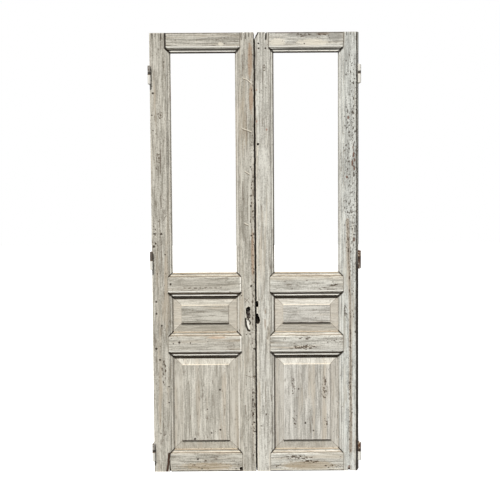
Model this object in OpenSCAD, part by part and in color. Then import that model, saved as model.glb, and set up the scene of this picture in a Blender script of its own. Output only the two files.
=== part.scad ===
// A pair of old limewashed doors. Each leaf is framed from two stiles and four rails, with a moulding worked
// on their edges round an empty glazing opening, a small raised panel and a large raised panel. The leaves
// hang on lift-off hinges, and the left one holds a mortise lock. X runs across the pair, Y from the front to
// the back and Z up. The origin is on the floor, in the middle of the pair.

/* [Leaves] */
// Height of a leaf
leaf_h = 2300; // [2150:5:2500]
// Width of a leaf, from its hinge edge to the front of its meeting edge
leaf_w = 538; // [480:1:640]
// Thickness of the stiles and rails
leaf_t = 42; // [40:0.5:50]
// Gap between the leaves, seen from the front
meeting_gap = 8; // [7:0.5:14]
// Depth of the open channel between the leaves, before their edges close up
channel_t = 12; // [8:0.5:14]

/* [Stiles and rails] */
// Flat width of a hinge stile
hinge_face = 81; // [70:1:110]
// Flat width of a meeting stile
meeting_face = 70; // [66:1:100]
// Flat height of a top rail
top_face = 77; // [60:1:110]
// Flat height of an upper lock rail
upper_lock_face = 78; // [60:1:110]
// Flat height of a lower lock rail
lower_lock_face = 81; // [60:1:110]
// Flat height of a bottom rail
bottom_face = 95; // [80:1:140]
// Thickness of a tenon
tenon_t = 14; // [10:0.5:16]
// Wood left between the end of a mortise and the stile's outer edge
mortise_wall = 34; // [31:1:45]
// Height that a tenon is cut short at the top of a top rail and the foot of a bottom rail
haunch = 25; // [15:1:35]

/* [Moulding] */
// Step where the moulding leaves the face
quirk = 1.5; // [0.5:0.1:3]
// Radius of the broad round next to the face
ovolo_r = 15; // [13:0.5:18]
// Width of that round
ovolo_w = 12; // [9:0.5:12.5]
// Width of the flat fillet after it
fillet_w = 6; // [4:0.5:9]
// Radius of the small round at the inner edge
bead_r = 6; // [4:0.5:6.5]
// Width of the lip beyond the small round
lip_w = 2; // [1:0.5:4]
// Depth from the front to the seat that the glass lay against
glass_seat = 20; // [18:0.5:24]
// Width of the glazing rebate at the back
rebate_w = 12; // [8:0.5:14]

/* [Panels] */
// Height of the large panel's opening
large_sight = 492; // [420:2:560]
// Height of the small panel's opening
small_sight = 182; // [170:2:240]
// Width of a panel's sloping border
border_w = 44; // [30:1:60]
// Rise of the border from the moulding to the foot of the field
border_rise = 6; // [3:0.5:8]
// Rise of the step up to the field
step_rise = 5; // [2:0.5:7]
// Width of that step
step_w = 3; // [1:0.5:6]
// Thickness of a panel's tongue
tongue_t = 8; // [6:0.5:9]
// How far the tongue reaches into its groove
tongue_in = 8; // [5:0.5:9]
// Depth of the groove
groove_depth = 10; // [9.5:0.5:13]

/* [Hinges] */
// Distance from the head of a leaf to the middle of its top hinge
top_hinge_drop = 216; // [180:1:320]
// Height of the middle of a middle hinge
middle_hinge_z = 1122; // [900:1:1300]
// Height of the middle of a bottom hinge
bottom_hinge_z = 108; // [100:1:250]
// Height of half a hinge
hinge_half = 46; // [40:1:55]
// Radius of a knuckle
knuckle_r = 8; // [7:0.1:9]
// Radius of the domed end of a knuckle
dome_r = 12; // [10:0.5:20]
// Radius of a hinge pin
pin_r = 4; // [3:0.1:5]
// Length of pin above the middle of the hinge
pin_out = 34; // [25:1:36]
// Length of pin below the middle of the hinge
pin_in = 36; // [25:1:37]
// Thickness of the washer between the knuckles
washer_t = 2; // [1:0.1:3]
// Thickness of a hinge plate
plate_t = 2.5; // [2:0.1:3]
// Width of a hinge plate, from the face of the leaf
plate_w = 30; // [26:0.5:34]
// Gap between the two plates of a shut hinge
hinge_gap = 3; // [2:0.1:4]
// Radius of the screw holes in a jamb plate
jamb_hole_r = 2.5; // [2:0.1:3.2]
// Distance between the screws of a plate, along its width
screw_dy = 14; // [11:0.5:15]
// Distance between the screws of a plate, along its height
screw_dz = 66; // [50:1:70]
// Radius of a hinge screw
screw_r = 2.2; // [1.8:0.1:2.6]
// Radius of a hinge screw's head
screw_head_r = 4.4; // [3.6:0.1:5]
// Length of a hinge screw
screw_l = 26; // [18:1:29]

/* [Lock] */
// Height of the lock above the middle of the small panel
lock_rise = 9; // [0:1:15]
// Depth of the lock's case into the stile
case_w = 58; // [52:1:62]
// Height of the case
case_h = 140; // [132:1:150]
// Thickness of the case
case_t = 14; // [13:0.5:16]
// Thickness of the lock's sheet metal
sheet_t = 1.4; // [1:0.1:1.8]
// How far the forend runs past the case at each end
forend_end = 20; // [17:0.5:28]
// Width of the forend
forend_w = 18; // [16:0.5:20]
// Thickness of the forend
forend_t = 2.5; // [2:0.1:3]
// Height of the dead bolt
bolt_h = 30; // [24:1:34]
// Thickness of the dead bolt
bolt_t = 9; // [7:0.5:9.5]
// Length of the dead bolt
bolt_l = 48; // [44:1:50]
// Travel of the dead bolt
throw = 13; // [8:0.5:13]
// Distance from the forend to the keyhole
backset = 38; // [34:1:42]

/* [Nails] */
// Radius of a nail's head
nail_head_r = 3.2; // [2.5:0.1:4]
// Radius of a nail
nail_r = 1.5; // [1:0.1:1.8]
// Length of a nail
nail_l = 30; // [20:1:36]

/* [Wear of the right hinge edge] */
// Width of the bevel planed on the right leaf's hinge edge, seen from the front
bevel_w = 8; // [2:0.5:12]
// Depth of that bevel
bevel_t = 13; // [4:0.5:13.5]
// Width of the long crack in the right hinge stile
crack_w = 2.2; // [1:0.1:4]
// Depth of the crack
crack_t = 5; // [2:0.5:8]

/* [Hidden] */
$fn = 64;
SIDES = ["left", "right"];
OVER = 1;

// Clearances
tenon_fit = 0.1;
panel_fit = 0.2;
seat_fit = 0.1;
pin_fit = 0.05;
press_fit = 0.02;
knuckle_clear = 0.3;
washer_fit = 0.1;
screw_fit = 0.05;
bolt_fit = 0.2;
seam_back = 0.3;
swing_clear = 0.45;

// The moulding, measured across the face from the flat and down from the face
moulding_w = ovolo_w + fillet_w + bead_r + lip_w;
fillet_y = quirk + ovolo_r - sqrt(ovolo_r * ovolo_r - ovolo_w * ovolo_w);
lip_y = fillet_y + bead_r;

// Heights of the flats of the rails and of the openings between them
large_z0 = bottom_face + moulding_w;
large_z1 = large_z0 + large_sight;
lower_lock_z = large_z1 + moulding_w;
small_z0 = lower_lock_z + lower_lock_face + moulding_w;
small_z1 = small_z0 + small_sight;
upper_lock_z = small_z1 + moulding_w;
glass_z0 = upper_lock_z + upper_lock_face + moulding_w;
top_rail_z = leaf_h - top_face;
glass_z1 = top_rail_z - moulding_w;
shoulder_w = leaf_w - hinge_face - meeting_face;
sight_w = shoulder_w - 2 * moulding_w;

// Each opening: its foot, its head and the kind of edge round it
LARGE = [large_z0, large_z1, "panel"];
SMALL = [small_z0, small_z1, "panel"];
GLASS = [glass_z0, glass_z1, "glass"];
OPENINGS = [LARGE, SMALL, GLASS];

// Each rail: its foot, its flat height, the edges below and above, and its tenon's foot and head
tenon_set = 6;
TOP = [top_rail_z, top_face, "glass", "", top_rail_z, leaf_h - haunch];
UPPER_LOCK = [upper_lock_z, upper_lock_face, "panel", "glass",
              upper_lock_z + tenon_set, upper_lock_z + upper_lock_face - tenon_set];
LOWER_LOCK = [lower_lock_z, lower_lock_face, "panel", "panel",
              lower_lock_z + tenon_set, lower_lock_z + lower_lock_face - tenon_set];
BOTTOM = [0, bottom_face, "", "panel", haunch, bottom_face];
RAILS = [TOP, UPPER_LOCK, LOWER_LOCK, BOTTOM];

// The hinge axis stands in front of the face, so that a leaf folds back flat
hinge_x = -hinge_gap / 2;
hinge_y = -knuckle_r - knuckle_clear;
plate_y0 = 0.5;
screw_y = (plate_y0 + plate_w) / 2;
HINGE_NAMES = ["top", "middle", "bottom"];
HINGE_Z = [leaf_h - top_hinge_drop, middle_hinge_z, bottom_hinge_z];
SCREW_PLACES = [for (y = [-1, 1]) for (z = [-1, 1]) [screw_y + y * screw_dy / 2, z * screw_dz / 2]];

// The leaves stand so that the pair, with its knuckles, is centred front to back
edge_x = meeting_gap / 2 + leaf_w;
face_y = -(leaf_t + hinge_y - knuckle_r) / 2;

// The meeting edges taper to a fine seam at the back, and each leaf can swing past the other
swing_r = edge_x - hinge_x;
swing_in = (pow(leaf_t - hinge_y, 2) - pow(channel_t - hinge_y, 2)) / (2 * swing_r);
seam_front = swing_in + swing_clear - seam_back;
tongue_front = meeting_gap / 2 - seam_front;
tongue_back = meeting_gap / 2 - seam_back;

// The lock, measured from the outer face of its forend, the middle of the leaf and the lock's own middle
lock_z = (small_z0 + small_z1) / 2 + lock_rise;
forend_in = 0.3;
forend_x = leaf_w + tongue_front - forend_in;
case_x = -forend_t - case_w;
forend_h = case_h + 2 * forend_end;
bolt_up = 35;
bolt_z = -case_h / 2 + bolt_up;
latch_down = 27;
latch_z = case_h / 2 - latch_down;
latch_h = 18;
stud_r = 2.5;
stud_in = 21;
stud_x = -forend_t - stud_in;
tumbler_in = 9;
tumbler_x = case_x + tumbler_in;
tumbler_h = 10;
tumbler_t = 2;
tumbler_gap = 0.4;
key_rise = 9;
key_z = bolt_z + bolt_h / 2 + key_rise;
key_r = 3.5;
hole_ease = 1;
key_slot_w = 3.5;
key_slot_h = 12;
talon_w = 9;
talon_h = 6;
spindle_drop = 21;
spindle_z = latch_z - spindle_drop;
spindle_r = 7;
forend_screw_r = 1.9;
forend_screw_head_r = 3.6;
forend_screw_l = 22;
forend_screw_in = 9;
forend_screw_z = forend_h / 2 - forend_screw_in;

// Outlines of what is broken, across and up, in round numbers chosen by hand
LOCK_HOLE = [[3, 33], [-12, 21], [-12, -1], [-9, -12], [-8, -31], [1, -34], [11, -31], [13, -12], [8, 2],
             [14, 16], [12, 26]];
LOCK_GASH = [[-5, -36], [6, -36], [13, -60], [12, -84], [3, -93], [-5, -88], [-11, -64]];
BOLT_NOTCH = [[20, 29], [-7, 29], [-10, 19], [-15, 6], [-19, -7], [-15, -20], [-8, -28], [20, -28]];
LATCH_NOTCH = [[20, 17], [-9, 16], [-10, -15], [20, -17]];
TOP_CHIP = [[20, 5], [-13, 5], [-11, -6], [-4, -16], [-1, -27], [20, -29]];
TOP_SPLIT = [[-60, 5], [-54, 5], [-55, -18], [-57, -34]];
LEFT_SPLIT = [[-53, 5], [-49, 5], [-51, -18]];
EDGE_GOUGE = [[-20, 4], [-13, 7], [-7, 3], [-6, -4], [-12, -6], [-19, -3]];
FOOT_HOLE = [[-15, 22], [-4, 24], [0, 14], [-1, 5], [-12, 3], [-17, 12]];
OPEN_SHOULDER = [[-1, 96], [0.5, 96], [3, 60], [5, 24], [9, -5], [-1, -5]];
NAIL_NOTCH = [[47, -5], [48, 14], [53, 21], [57, 12], [58, -5]];
FOOT_CORNER = [[-5, 9], [2, 9], [9, 3], [11, -5], [-5, -5]];
CRACK = [[60, 1330], [55, 1150], [48, 950], [44, 746], [45, 500], [43, 300], [44, 104]];
gash_t = 3;
notch_t = 31;
split_t = 20;
gouge_t = 11;
edge_gouge_drop = 575;

// Nails in the right leaf, in from the front of its meeting edge and up from the top rail's foot
STILE_NAILS = [[18, 20], [19, -5], [55, -5]];
RAIL_NAILS = [[255, 18]];
nail_head_t = 1.2;

LIMEWASH_LEFT = [0.71, 0.68, 0.62];
LIMEWASH_RIGHT = [0.76, 0.74, 0.69];
IRON = [0.45, 0.43, 0.41];
STEEL = [0.6, 0.6, 0.6];
BRASS = [0.72, 0.55, 0.28];
RUST = [0.35, 0.22, 0.15];

WOOD_NAMES = ["hinge_stile", "meeting_stile", "top_rail", "upper_lock_rail", "lower_lock_rail", "bottom_rail",
              "small_panel", "large_panel"];
HINGE_PARTS = ["leaf_hinge", "jamb_hinge", "hinge_pin", "hinge_washer"];
LOCK_NAMES = ["lock_case", "lock_cover", "lock_forend", "dead_bolt", "lock_tumbler", "forend_screws"];

// Set a leaf in its place: its hinge edge is at 0 across, its face at 0 deep, and the right leaf is mirrored
module place_leaf(side) {
    mirror([side == "right" ? 1 : 0, 0, 0]) translate([-edge_x, face_y, 0]) children();
}

// Extrude an outline, given across and up, from in front of the face to a depth
module from_front(depth) {
    translate([0, depth, 0]) rotate([90, 0, 0]) linear_extrude(depth + OVER) children();
}

// Turn a run that goes up so that it goes across, with its width upwards or downwards
module across_up() {
    mirror([1, 0, -1]) children();
}
module across_down() {
    rotate([0, 90, 0]) children();
}

// What the moulding plane takes off one face: a step, a broad round, a fillet and a small round
module moulding_cut() {
    bead_x = ovolo_w + fillet_w;
    difference() {
        translate([0, -OVER]) square([moulding_w + OVER, lip_y + OVER]);
        intersection() {
            translate([0, quirk + ovolo_r]) circle(ovolo_r);
            square([ovolo_w, lip_y + OVER]);
        }
        translate([ovolo_w, fillet_y]) square([fillet_w, lip_y]);
        intersection() {
            translate([bead_x, lip_y]) circle(bead_r);
            translate([bead_x, 0]) square([bead_r, lip_y + OVER]);
        }
    }
}

// Section of a worked edge: moulded both sides with a groove, or moulded in front with a rebate behind
module edge_section(kind) {
    groove_t = tongue_t + 2 * panel_fit;
    difference() {
        translate([-OVER, 0]) square([moulding_w + OVER, leaf_t]);
        moulding_cut();
        if (kind == "panel") {
            translate([0, leaf_t]) mirror([0, 1]) moulding_cut();
            translate([moulding_w - groove_depth, (leaf_t - groove_t) / 2])
                square([groove_depth + OVER, groove_t]);
        } else {
            translate([moulding_w - rebate_w, glass_seat]) square([rebate_w + OVER, leaf_t]);
        }
    }
}

// A worked edge beside an opening, going up from flat to flat, mitred at both ends
module worked_edge(sight, kind) {
    run = sight + 2 * moulding_w;
    mitre = [[-OVER, 0], [0, 0], [moulding_w, moulding_w],
             [moulding_w, run - moulding_w], [0, run], [-OVER, run]];
    intersection() {
        linear_extrude(run) edge_section(kind);
        from_front(leaf_t + OVER) polygon(mitre);
    }
}

module stile_mortises(x, length) {
    for (rail = RAILS)
        translate([x, (leaf_t - tenon_t) / 2 - tenon_fit, rail[4] - tenon_fit])
            cube([length, tenon_t + 2 * tenon_fit, rail[5] - rail[4] + 2 * tenon_fit]);
}

// Recess for a leaf plate in the hinge edge, with the holes for its screws
module hinge_seat() {
    translate([-OVER, -OVER, -hinge_half - seat_fit])
        cube([plate_t + seat_fit + OVER, plate_w + seat_fit + OVER, 2 * (hinge_half + seat_fit)]);
    for (place = SCREW_PLACES)
        translate([0, place[0], place[1]]) rotate([0, 90, 0])
            cylinder(h = screw_l + screw_fit, r = screw_r + screw_fit);
}

// The crack follows its line, and closes at both ends
module crack() {
    last = len(CRACK) - 1;
    half = [for (i = [0 : last]) i == 0 || i == last ? 0.3 : crack_w / 2];
    left = [for (i = [0 : last]) [CRACK[i][0] - half[i], CRACK[i][1]]];
    right = [for (i = [last : -1 : 0]) [CRACK[i][0] + half[i], CRACK[i][1]]];
    from_front(crack_t) polygon(concat(left, right));
}

module right_hinge_edge_wear() {
    translate([0, 0, -OVER]) linear_extrude(leaf_h + 2 * OVER)
        polygon([[-OVER, -OVER], [bevel_w, -OVER], [bevel_w, 0], [0, bevel_t], [-OVER, bevel_t]]);
    crack();
    from_front(split_t) polygon(NAIL_NOTCH);
    from_front(leaf_t + OVER) polygon(FOOT_CORNER);
}

module hinge_stile(side) {
    color(side == "left" ? LIMEWASH_LEFT : LIMEWASH_RIGHT) place_leaf(side) difference() {
        union() {
            cube([hinge_face, leaf_t, leaf_h]);
            for (o = OPENINGS)
                translate([hinge_face, 0, o[0] - moulding_w]) worked_edge(o[1] - o[0], o[2]);
        }
        stile_mortises(mortise_wall, hinge_face - mortise_wall + OVER);
        for (z = HINGE_Z) translate([0, 0, z]) hinge_seat();
        if (side == "right") right_hinge_edge_wear();
    }
}

// Mortise for the lock, closed at the back, with the hole that broke out in front of it
module lock_mortise() {
    translate([forend_x, leaf_t / 2, lock_z]) {
        translate([case_x - seat_fit, -case_t / 2 - seat_fit, -case_h / 2 - seat_fit])
            cube([case_w + forend_t + meeting_gap, case_t + 2 * seat_fit, case_h + 2 * seat_fit]);
        translate([-forend_t - seat_fit, -forend_w / 2 - seat_fit, -forend_h / 2 - seat_fit])
            cube([forend_t + meeting_gap, forend_w + 2 * seat_fit, forend_h + 2 * seat_fit]);
        for (z = [-forend_screw_z, forend_screw_z])
            translate([-forend_screw_l - screw_fit, 0, z]) rotate([0, 90, 0])
                cylinder(h = forend_screw_l, r = forend_screw_r + screw_fit);
    }
    translate([forend_x - backset, 0, lock_z]) {
        from_front(leaf_t / 2 - case_t / 2) polygon(LOCK_HOLE);
        from_front(gash_t) polygon(LOCK_GASH);
    }
}

module right_meeting_edge_wear() {
    translate([leaf_w, 0, 0]) {
        translate([0, 0, lock_z + bolt_z]) from_front(notch_t) polygon(BOLT_NOTCH);
        translate([0, 0, lock_z + latch_z]) from_front(notch_t) polygon(LATCH_NOTCH);
        translate([0, 0, leaf_h]) from_front(leaf_t + OVER) polygon(TOP_CHIP);
        translate([0, 0, leaf_h]) from_front(split_t) polygon(TOP_SPLIT);
        translate([0, 0, leaf_h - edge_gouge_drop]) from_front(gouge_t) polygon(EDGE_GOUGE);
    }
    nails(STILE_NAILS, screw_fit);
}

module meeting_stile(side) {
    foot = leaf_w - meeting_face;
    edge = [[foot, 0], [leaf_w, 0], [leaf_w, channel_t], [leaf_w + tongue_front, channel_t],
            [leaf_w + tongue_back, leaf_t], [foot, leaf_t]];
    color(side == "left" ? LIMEWASH_LEFT : LIMEWASH_RIGHT) place_leaf(side) difference() {
        union() {
            linear_extrude(leaf_h) polygon(edge);
            for (o = OPENINGS)
                translate([foot, 0, o[0] - moulding_w]) mirror([1, 0, 0]) worked_edge(o[1] - o[0], o[2]);
        }
        stile_mortises(foot - OVER, meeting_face - mortise_wall + OVER);
        if (side == "left") {
            lock_mortise();
            translate([leaf_w, 0, leaf_h]) from_front(split_t) polygon(LEFT_SPLIT);
        } else {
            right_meeting_edge_wear();
        }
    }
}

// A rail: its flat, the worked edges below and above it, and its two tenons
module rail_body(rail) {
    tenon_y = (leaf_t - tenon_t) / 2;
    tenon_h = rail[5] - rail[4];
    end = mortise_wall + tenon_fit;
    translate([hinge_face, 0, rail[0]]) cube([shoulder_w, leaf_t, rail[1]]);
    if (rail[2] != "") translate([hinge_face, 0, rail[0]]) across_down() worked_edge(sight_w, rail[2]);
    if (rail[3] != "")
        translate([hinge_face, 0, rail[0] + rail[1]]) across_up() worked_edge(sight_w, rail[3]);
    translate([end, tenon_y, rail[4]]) cube([hinge_face - end + OVER, tenon_t, tenon_h]);
    translate([leaf_w - meeting_face - OVER, tenon_y, rail[4]])
        cube([meeting_face - end + OVER, tenon_t, tenon_h]);
}

module rail(side, rail) {
    color(side == "left" ? LIMEWASH_LEFT : LIMEWASH_RIGHT) place_leaf(side) rail_body(rail);
}

module top_rail(side) {
    color(side == "left" ? LIMEWASH_LEFT : LIMEWASH_RIGHT) place_leaf(side) difference() {
        rail_body(TOP);
        if (side == "right") nails(RAIL_NAILS, screw_fit);
    }
}

// The left bottom rail has drawn out of its hinge stile and lost a piece beside its meeting stile
module bottom_rail(side) {
    color(side == "left" ? LIMEWASH_LEFT : LIMEWASH_RIGHT) place_leaf(side) difference() {
        rail_body(BOTTOM);
        if (side == "left") {
            translate([hinge_face, 0, 0]) from_front((leaf_t - tenon_t) / 2) polygon(OPEN_SHOULDER);
            translate([leaf_w - meeting_face, 0, 0]) from_front((leaf_t - tenon_t) / 2) polygon(FOOT_HOLE);
        }
    }
}

// Section through a panel, the same front and back: tongue, sloping border, step and field
function panel_edge(half) = [[half + tongue_in, 0], [half, 0], [half - border_w + step_w, border_rise],
                             [half - border_w, border_rise + step_rise]];

module panel_section(sight) {
    edge = panel_edge(sight / 2);
    last = len(edge) - 1;
    front = (leaf_t - tongue_t) / 2;
    back = (leaf_t + tongue_t) / 2;
    polygon(concat(
        [for (p = edge) [p[0], front - p[1]]],
        [for (i = [last : -1 : 0]) [-edge[i][0], front - edge[i][1]]],
        [for (p = edge) [-p[0], back + p[1]]],
        [for (i = [last : -1 : 0]) [edge[i][0], back + edge[i][1]]]
    ));
}

module raised_panel(side, opening) {
    sight_h = opening[1] - opening[0];
    reach = tongue_in + OVER;
    left = hinge_face + moulding_w;
    color(side == "left" ? LIMEWASH_LEFT : LIMEWASH_RIGHT) place_leaf(side) intersection() {
        translate([left + sight_w / 2, 0, opening[0] - reach])
            linear_extrude(sight_h + 2 * reach) panel_section(sight_w);
        translate([left - reach, 0, opening[0] + sight_h / 2])
            across_up() linear_extrude(sight_w + 2 * reach) panel_section(sight_h);
    }
}

// Half a hinge without its holes: a full plate, and a knuckle over the upper half with a domed end
module hinge_blank() {
    foot = washer_t / 2 + washer_fit;
    knuckle_h = hinge_half - foot;
    web_set = 1.5;
    translate([0, plate_y0, -hinge_half]) cube([plate_t, plate_w - plate_y0, 2 * hinge_half]);
    translate([0, hinge_y, foot + web_set])
        cube([plate_t, plate_y0 - hinge_y + OVER, knuckle_h - 2 * web_set]);
    translate([hinge_x, hinge_y, foot]) rotate_extrude() {
        square([knuckle_r, knuckle_h]);
        intersection() {
            translate([0, knuckle_h - sqrt(dome_r * dome_r - knuckle_r * knuckle_r)]) circle(dome_r);
            translate([0, knuckle_h]) square([knuckle_r, dome_r]);
        }
    }
}

// Turn a leaf half into a jamb half: over to the other side of the pin, and upside down
module jamb_side() {
    translate([2 * hinge_x, 0, 0]) mirror([1, 0, 0]) mirror([0, 0, 1]) children();
}

module pin_bore(length, fit) {
    translate([hinge_x, hinge_y, 0]) cylinder(h = length + OVER, r = pin_r + fit);
}

module leaf_hinge(side, z) {
    color(IRON) place_leaf(side) translate([0, 0, z]) difference() {
        hinge_blank();
        pin_bore(pin_out, pin_fit);
        for (place = SCREW_PLACES)
            translate([0, place[0], place[1]]) rotate([0, 90, 0])
                cylinder(h = plate_t, r1 = screw_head_r + screw_fit, r2 = screw_r + screw_fit);
    }
}

module jamb_hinge(side, z) {
    color(IRON) place_leaf(side) translate([0, 0, z]) jamb_side() difference() {
        hinge_blank();
        pin_bore(pin_in, press_fit);
        for (place = SCREW_PLACES)
            translate([-OVER, place[0], place[1]]) rotate([0, 90, 0])
                cylinder(h = plate_t + 2 * OVER, r = jamb_hole_r);
    }
}

module hinge_pin(side, z) {
    tip = pin_r / 4;
    color(STEEL) place_leaf(side) translate([hinge_x, hinge_y, z]) {
        translate([0, 0, -pin_in]) cylinder(h = pin_in + pin_out - tip, r = pin_r);
        translate([0, 0, pin_out - tip]) cylinder(h = tip, r1 = pin_r, r2 = pin_r - tip);
    }
}

module hinge_washer(side, z) {
    color(BRASS) place_leaf(side) translate([hinge_x, hinge_y, z - washer_t / 2]) difference() {
        cylinder(h = washer_t, r = knuckle_r);
        translate([0, 0, -OVER]) cylinder(h = washer_t + 2 * OVER, r = pin_r + pin_fit);
    }
}

// A countersunk wood screw that goes in along X, with a slot across its head
module wood_screw(head_r, head_t, r, length) {
    slot_t = head_t / 3;
    slot_w = head_r / 4;
    rotate([0, 90, 0]) difference() {
        union() {
            cylinder(h = head_t, r1 = head_r, r2 = r);
            cylinder(h = length, r = r);
        }
        translate([-head_r, -slot_w / 2, -OVER]) cube([2 * head_r, slot_w, slot_t + OVER]);
    }
}

module hinge_screws(side) {
    color(RUST) place_leaf(side)
        for (z = HINGE_Z) for (place = SCREW_PLACES)
            translate([0, place[0], z + place[1]]) wood_screw(screw_head_r, plate_t, screw_r, screw_l);
}

module place_lock() {
    place_leaf("left") translate([forend_x, leaf_t / 2, lock_z]) children();
}

// Cut for the dead bolt and for the latch in a wall across X
module bolt_slots(x, length) {
    for (slot = [[bolt_z, bolt_h], [latch_z, latch_h]])
        translate([x, -bolt_t / 2 - bolt_fit, slot[0] - slot[1] / 2 - bolt_fit])
            cube([length, bolt_t + 2 * bolt_fit, slot[1] + 2 * bolt_fit]);
}

// The case is a tray that opens to the front, with a stud for the bolt and one for the tumbler
module lock_case() {
    tray_y = -case_t / 2 + sheet_t;
    stud_l = case_t - 1.5 * sheet_t;
    color(STEEL) place_lock() {
        difference() {
            translate([case_x, tray_y, -case_h / 2]) cube([case_w, case_t - sheet_t, case_h]);
            translate([case_x + sheet_t, tray_y - OVER, -case_h / 2 + sheet_t])
                cube([case_w - 2 * sheet_t, case_t - 2 * sheet_t + OVER, case_h - 2 * sheet_t]);
            bolt_slots(-forend_t - sheet_t - OVER, sheet_t + 2 * OVER);
            for (hole = [[key_z, key_r + hole_ease], [spindle_z, spindle_r]])
                translate([-backset, 0, hole[0]]) rotate([-90, 0, 0]) cylinder(h = case_t, r = hole[1]);
        }
        for (place = [[stud_x, bolt_z], [tumbler_x, bolt_z - bolt_h / 2 - tumbler_gap - tumbler_h / 2]])
            translate([place[0], tray_y, place[1]]) rotate([-90, 0, 0]) cylinder(h = stud_l, r = stud_r);
    }
}

module lock_cover() {
    color(STEEL) place_lock() difference() {
        translate([case_x, -case_t / 2, -case_h / 2]) cube([case_w, sheet_t, case_h]);
        translate([-backset, 0, key_z]) {
            rotate([90, 0, 0]) cylinder(h = case_t, r = key_r);
            translate([-key_slot_w / 2, -case_t, -key_slot_h]) cube([key_slot_w, case_t, key_slot_h]);
        }
        translate([-backset, 0, spindle_z]) rotate([90, 0, 0]) cylinder(h = case_t, r = spindle_r);
    }
}

module lock_forend() {
    color(STEEL) place_lock() difference() {
        translate([-forend_t, -forend_w / 2, -forend_h / 2]) cube([forend_t, forend_w, forend_h]);
        bolt_slots(-forend_t - OVER, forend_t + 2 * OVER);
        for (z = [-forend_screw_z, forend_screw_z])
            translate([-forend_t, 0, z]) rotate([0, 90, 0])
                cylinder(h = forend_t, r1 = forend_screw_r + screw_fit, r2 = forend_screw_head_r + screw_fit);
    }
}

// The bolt slides on its stud, and the key pushes it at the talon in its upper edge
module dead_bolt() {
    slot_r = stud_r + bolt_fit;
    slot_x = stud_x - throw;
    color(STEEL) place_lock() difference() {
        translate([-bolt_l, -bolt_t / 2, bolt_z - bolt_h / 2]) cube([bolt_l, bolt_t, bolt_h]);
        for (x = [slot_x, stud_x])
            translate([x, -bolt_t, bolt_z]) rotate([-90, 0, 0]) cylinder(h = 2 * bolt_t, r = slot_r);
        translate([slot_x, -bolt_t, bolt_z - slot_r]) cube([throw, 2 * bolt_t, 2 * slot_r]);
        translate([-backset - talon_w / 2, -bolt_t, bolt_z + bolt_h / 2 - talon_h])
            cube([talon_w, 2 * bolt_t, talon_h + OVER]);
    }
}

module lock_tumbler() {
    tumbler_l = 36;
    reach = 4;
    tumbler_z = bolt_z - bolt_h / 2 - tumbler_gap - tumbler_h / 2;
    color(BRASS) place_lock() translate([tumbler_x, -tumbler_t / 2, tumbler_z]) difference() {
        translate([-reach, 0, -tumbler_h / 2]) cube([tumbler_l, tumbler_t, tumbler_h]);
        translate([0, -OVER, 0]) rotate([-90, 0, 0])
            cylinder(h = tumbler_t + 2 * OVER, r = stud_r + pin_fit);
    }
}

module forend_screws() {
    color(RUST) place_lock()
        for (z = [-forend_screw_z, forend_screw_z])
            translate([0, 0, z]) mirror([1, 0, 0])
                wood_screw(forend_screw_head_r, forend_t, forend_screw_r, forend_screw_l);
}

// Nails driven in from the front of the right leaf, or with a clearance the holes that they sit in
module nails(places, fit) {
    for (place = places)
        translate([leaf_w - place[0], 0, top_rail_z + place[1]]) rotate([-90, 0, 0]) {
            cylinder(h = nail_head_t + fit, r = nail_head_r + fit);
            cylinder(h = nail_l + fit, r = nail_r + fit);
        }
}

module right_nails() {
    color(RUST) place_leaf("right") nails(concat(STILE_NAILS, RAIL_NAILS), 0);
}

for (side = SIDES) {
    hinge_stile(side);
    meeting_stile(side);
    top_rail(side);
    rail(side, UPPER_LOCK);
    rail(side, LOWER_LOCK);
    bottom_rail(side);
    raised_panel(side, SMALL);
    raised_panel(side, LARGE);
    for (i = [0 : len(HINGE_NAMES) - 1]) {
        name = str(side, "_", HINGE_NAMES[i]);
        z = HINGE_Z[i];
        leaf_hinge(side, z);
        jamb_hinge(side, z);
        hinge_pin(side, z);
        hinge_washer(side, z);
    }
    hinge_screws(side);
}
lock_case();
lock_cover();
lock_forend();
dead_bolt();
lock_tumbler();
forend_screws();
right_nails();
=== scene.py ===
import math
from types import SimpleNamespace

import bmesh
import bpy
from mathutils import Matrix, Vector


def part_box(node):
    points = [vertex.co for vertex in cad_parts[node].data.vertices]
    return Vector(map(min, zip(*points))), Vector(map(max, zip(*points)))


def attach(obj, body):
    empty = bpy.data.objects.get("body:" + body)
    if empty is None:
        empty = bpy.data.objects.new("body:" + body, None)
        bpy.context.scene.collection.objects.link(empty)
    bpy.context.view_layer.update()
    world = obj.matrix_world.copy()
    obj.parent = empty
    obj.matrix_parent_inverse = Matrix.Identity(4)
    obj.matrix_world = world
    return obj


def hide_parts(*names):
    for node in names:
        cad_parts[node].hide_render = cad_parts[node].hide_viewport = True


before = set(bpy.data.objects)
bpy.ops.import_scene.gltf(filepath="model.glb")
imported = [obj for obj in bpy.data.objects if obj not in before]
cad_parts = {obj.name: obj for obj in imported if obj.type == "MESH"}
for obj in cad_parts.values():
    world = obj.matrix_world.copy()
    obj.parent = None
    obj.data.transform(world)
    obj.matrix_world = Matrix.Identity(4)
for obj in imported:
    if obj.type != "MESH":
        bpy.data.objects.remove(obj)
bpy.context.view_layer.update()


# Stiles: the four upright timbers of the two leaves, sawn from softwood and planed by hand.
# The rails' tenons go into their mortises, and the moulding is run along their inner edges.
# Old coats of limewash lie on them in brush streaks, worn through at the arrises.
STILES = ["left_hinge_stile", "left_meeting_stile", "right_hinge_stile", "right_meeting_stile"]
WELD = 0.00002
FLAT = math.radians(1.0)
ARRIS_TURN = math.radians(30.0)
ARRIS_LENGTH = 0.016
ARRIS_WIDTH = 0.0009
SLICE_ALONG = 0.02
SLICE_ACROSS = 0.013
PLANE_MARKS = 0.0008
SOFT_TURN = math.radians(42.0)
WEAR = (("plane marks", 0.05, 0.4, 0.6), ("rubbing", 0.016, 0.06, 0.4))
X_AXIS, Z_AXIS = 0, 2

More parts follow.
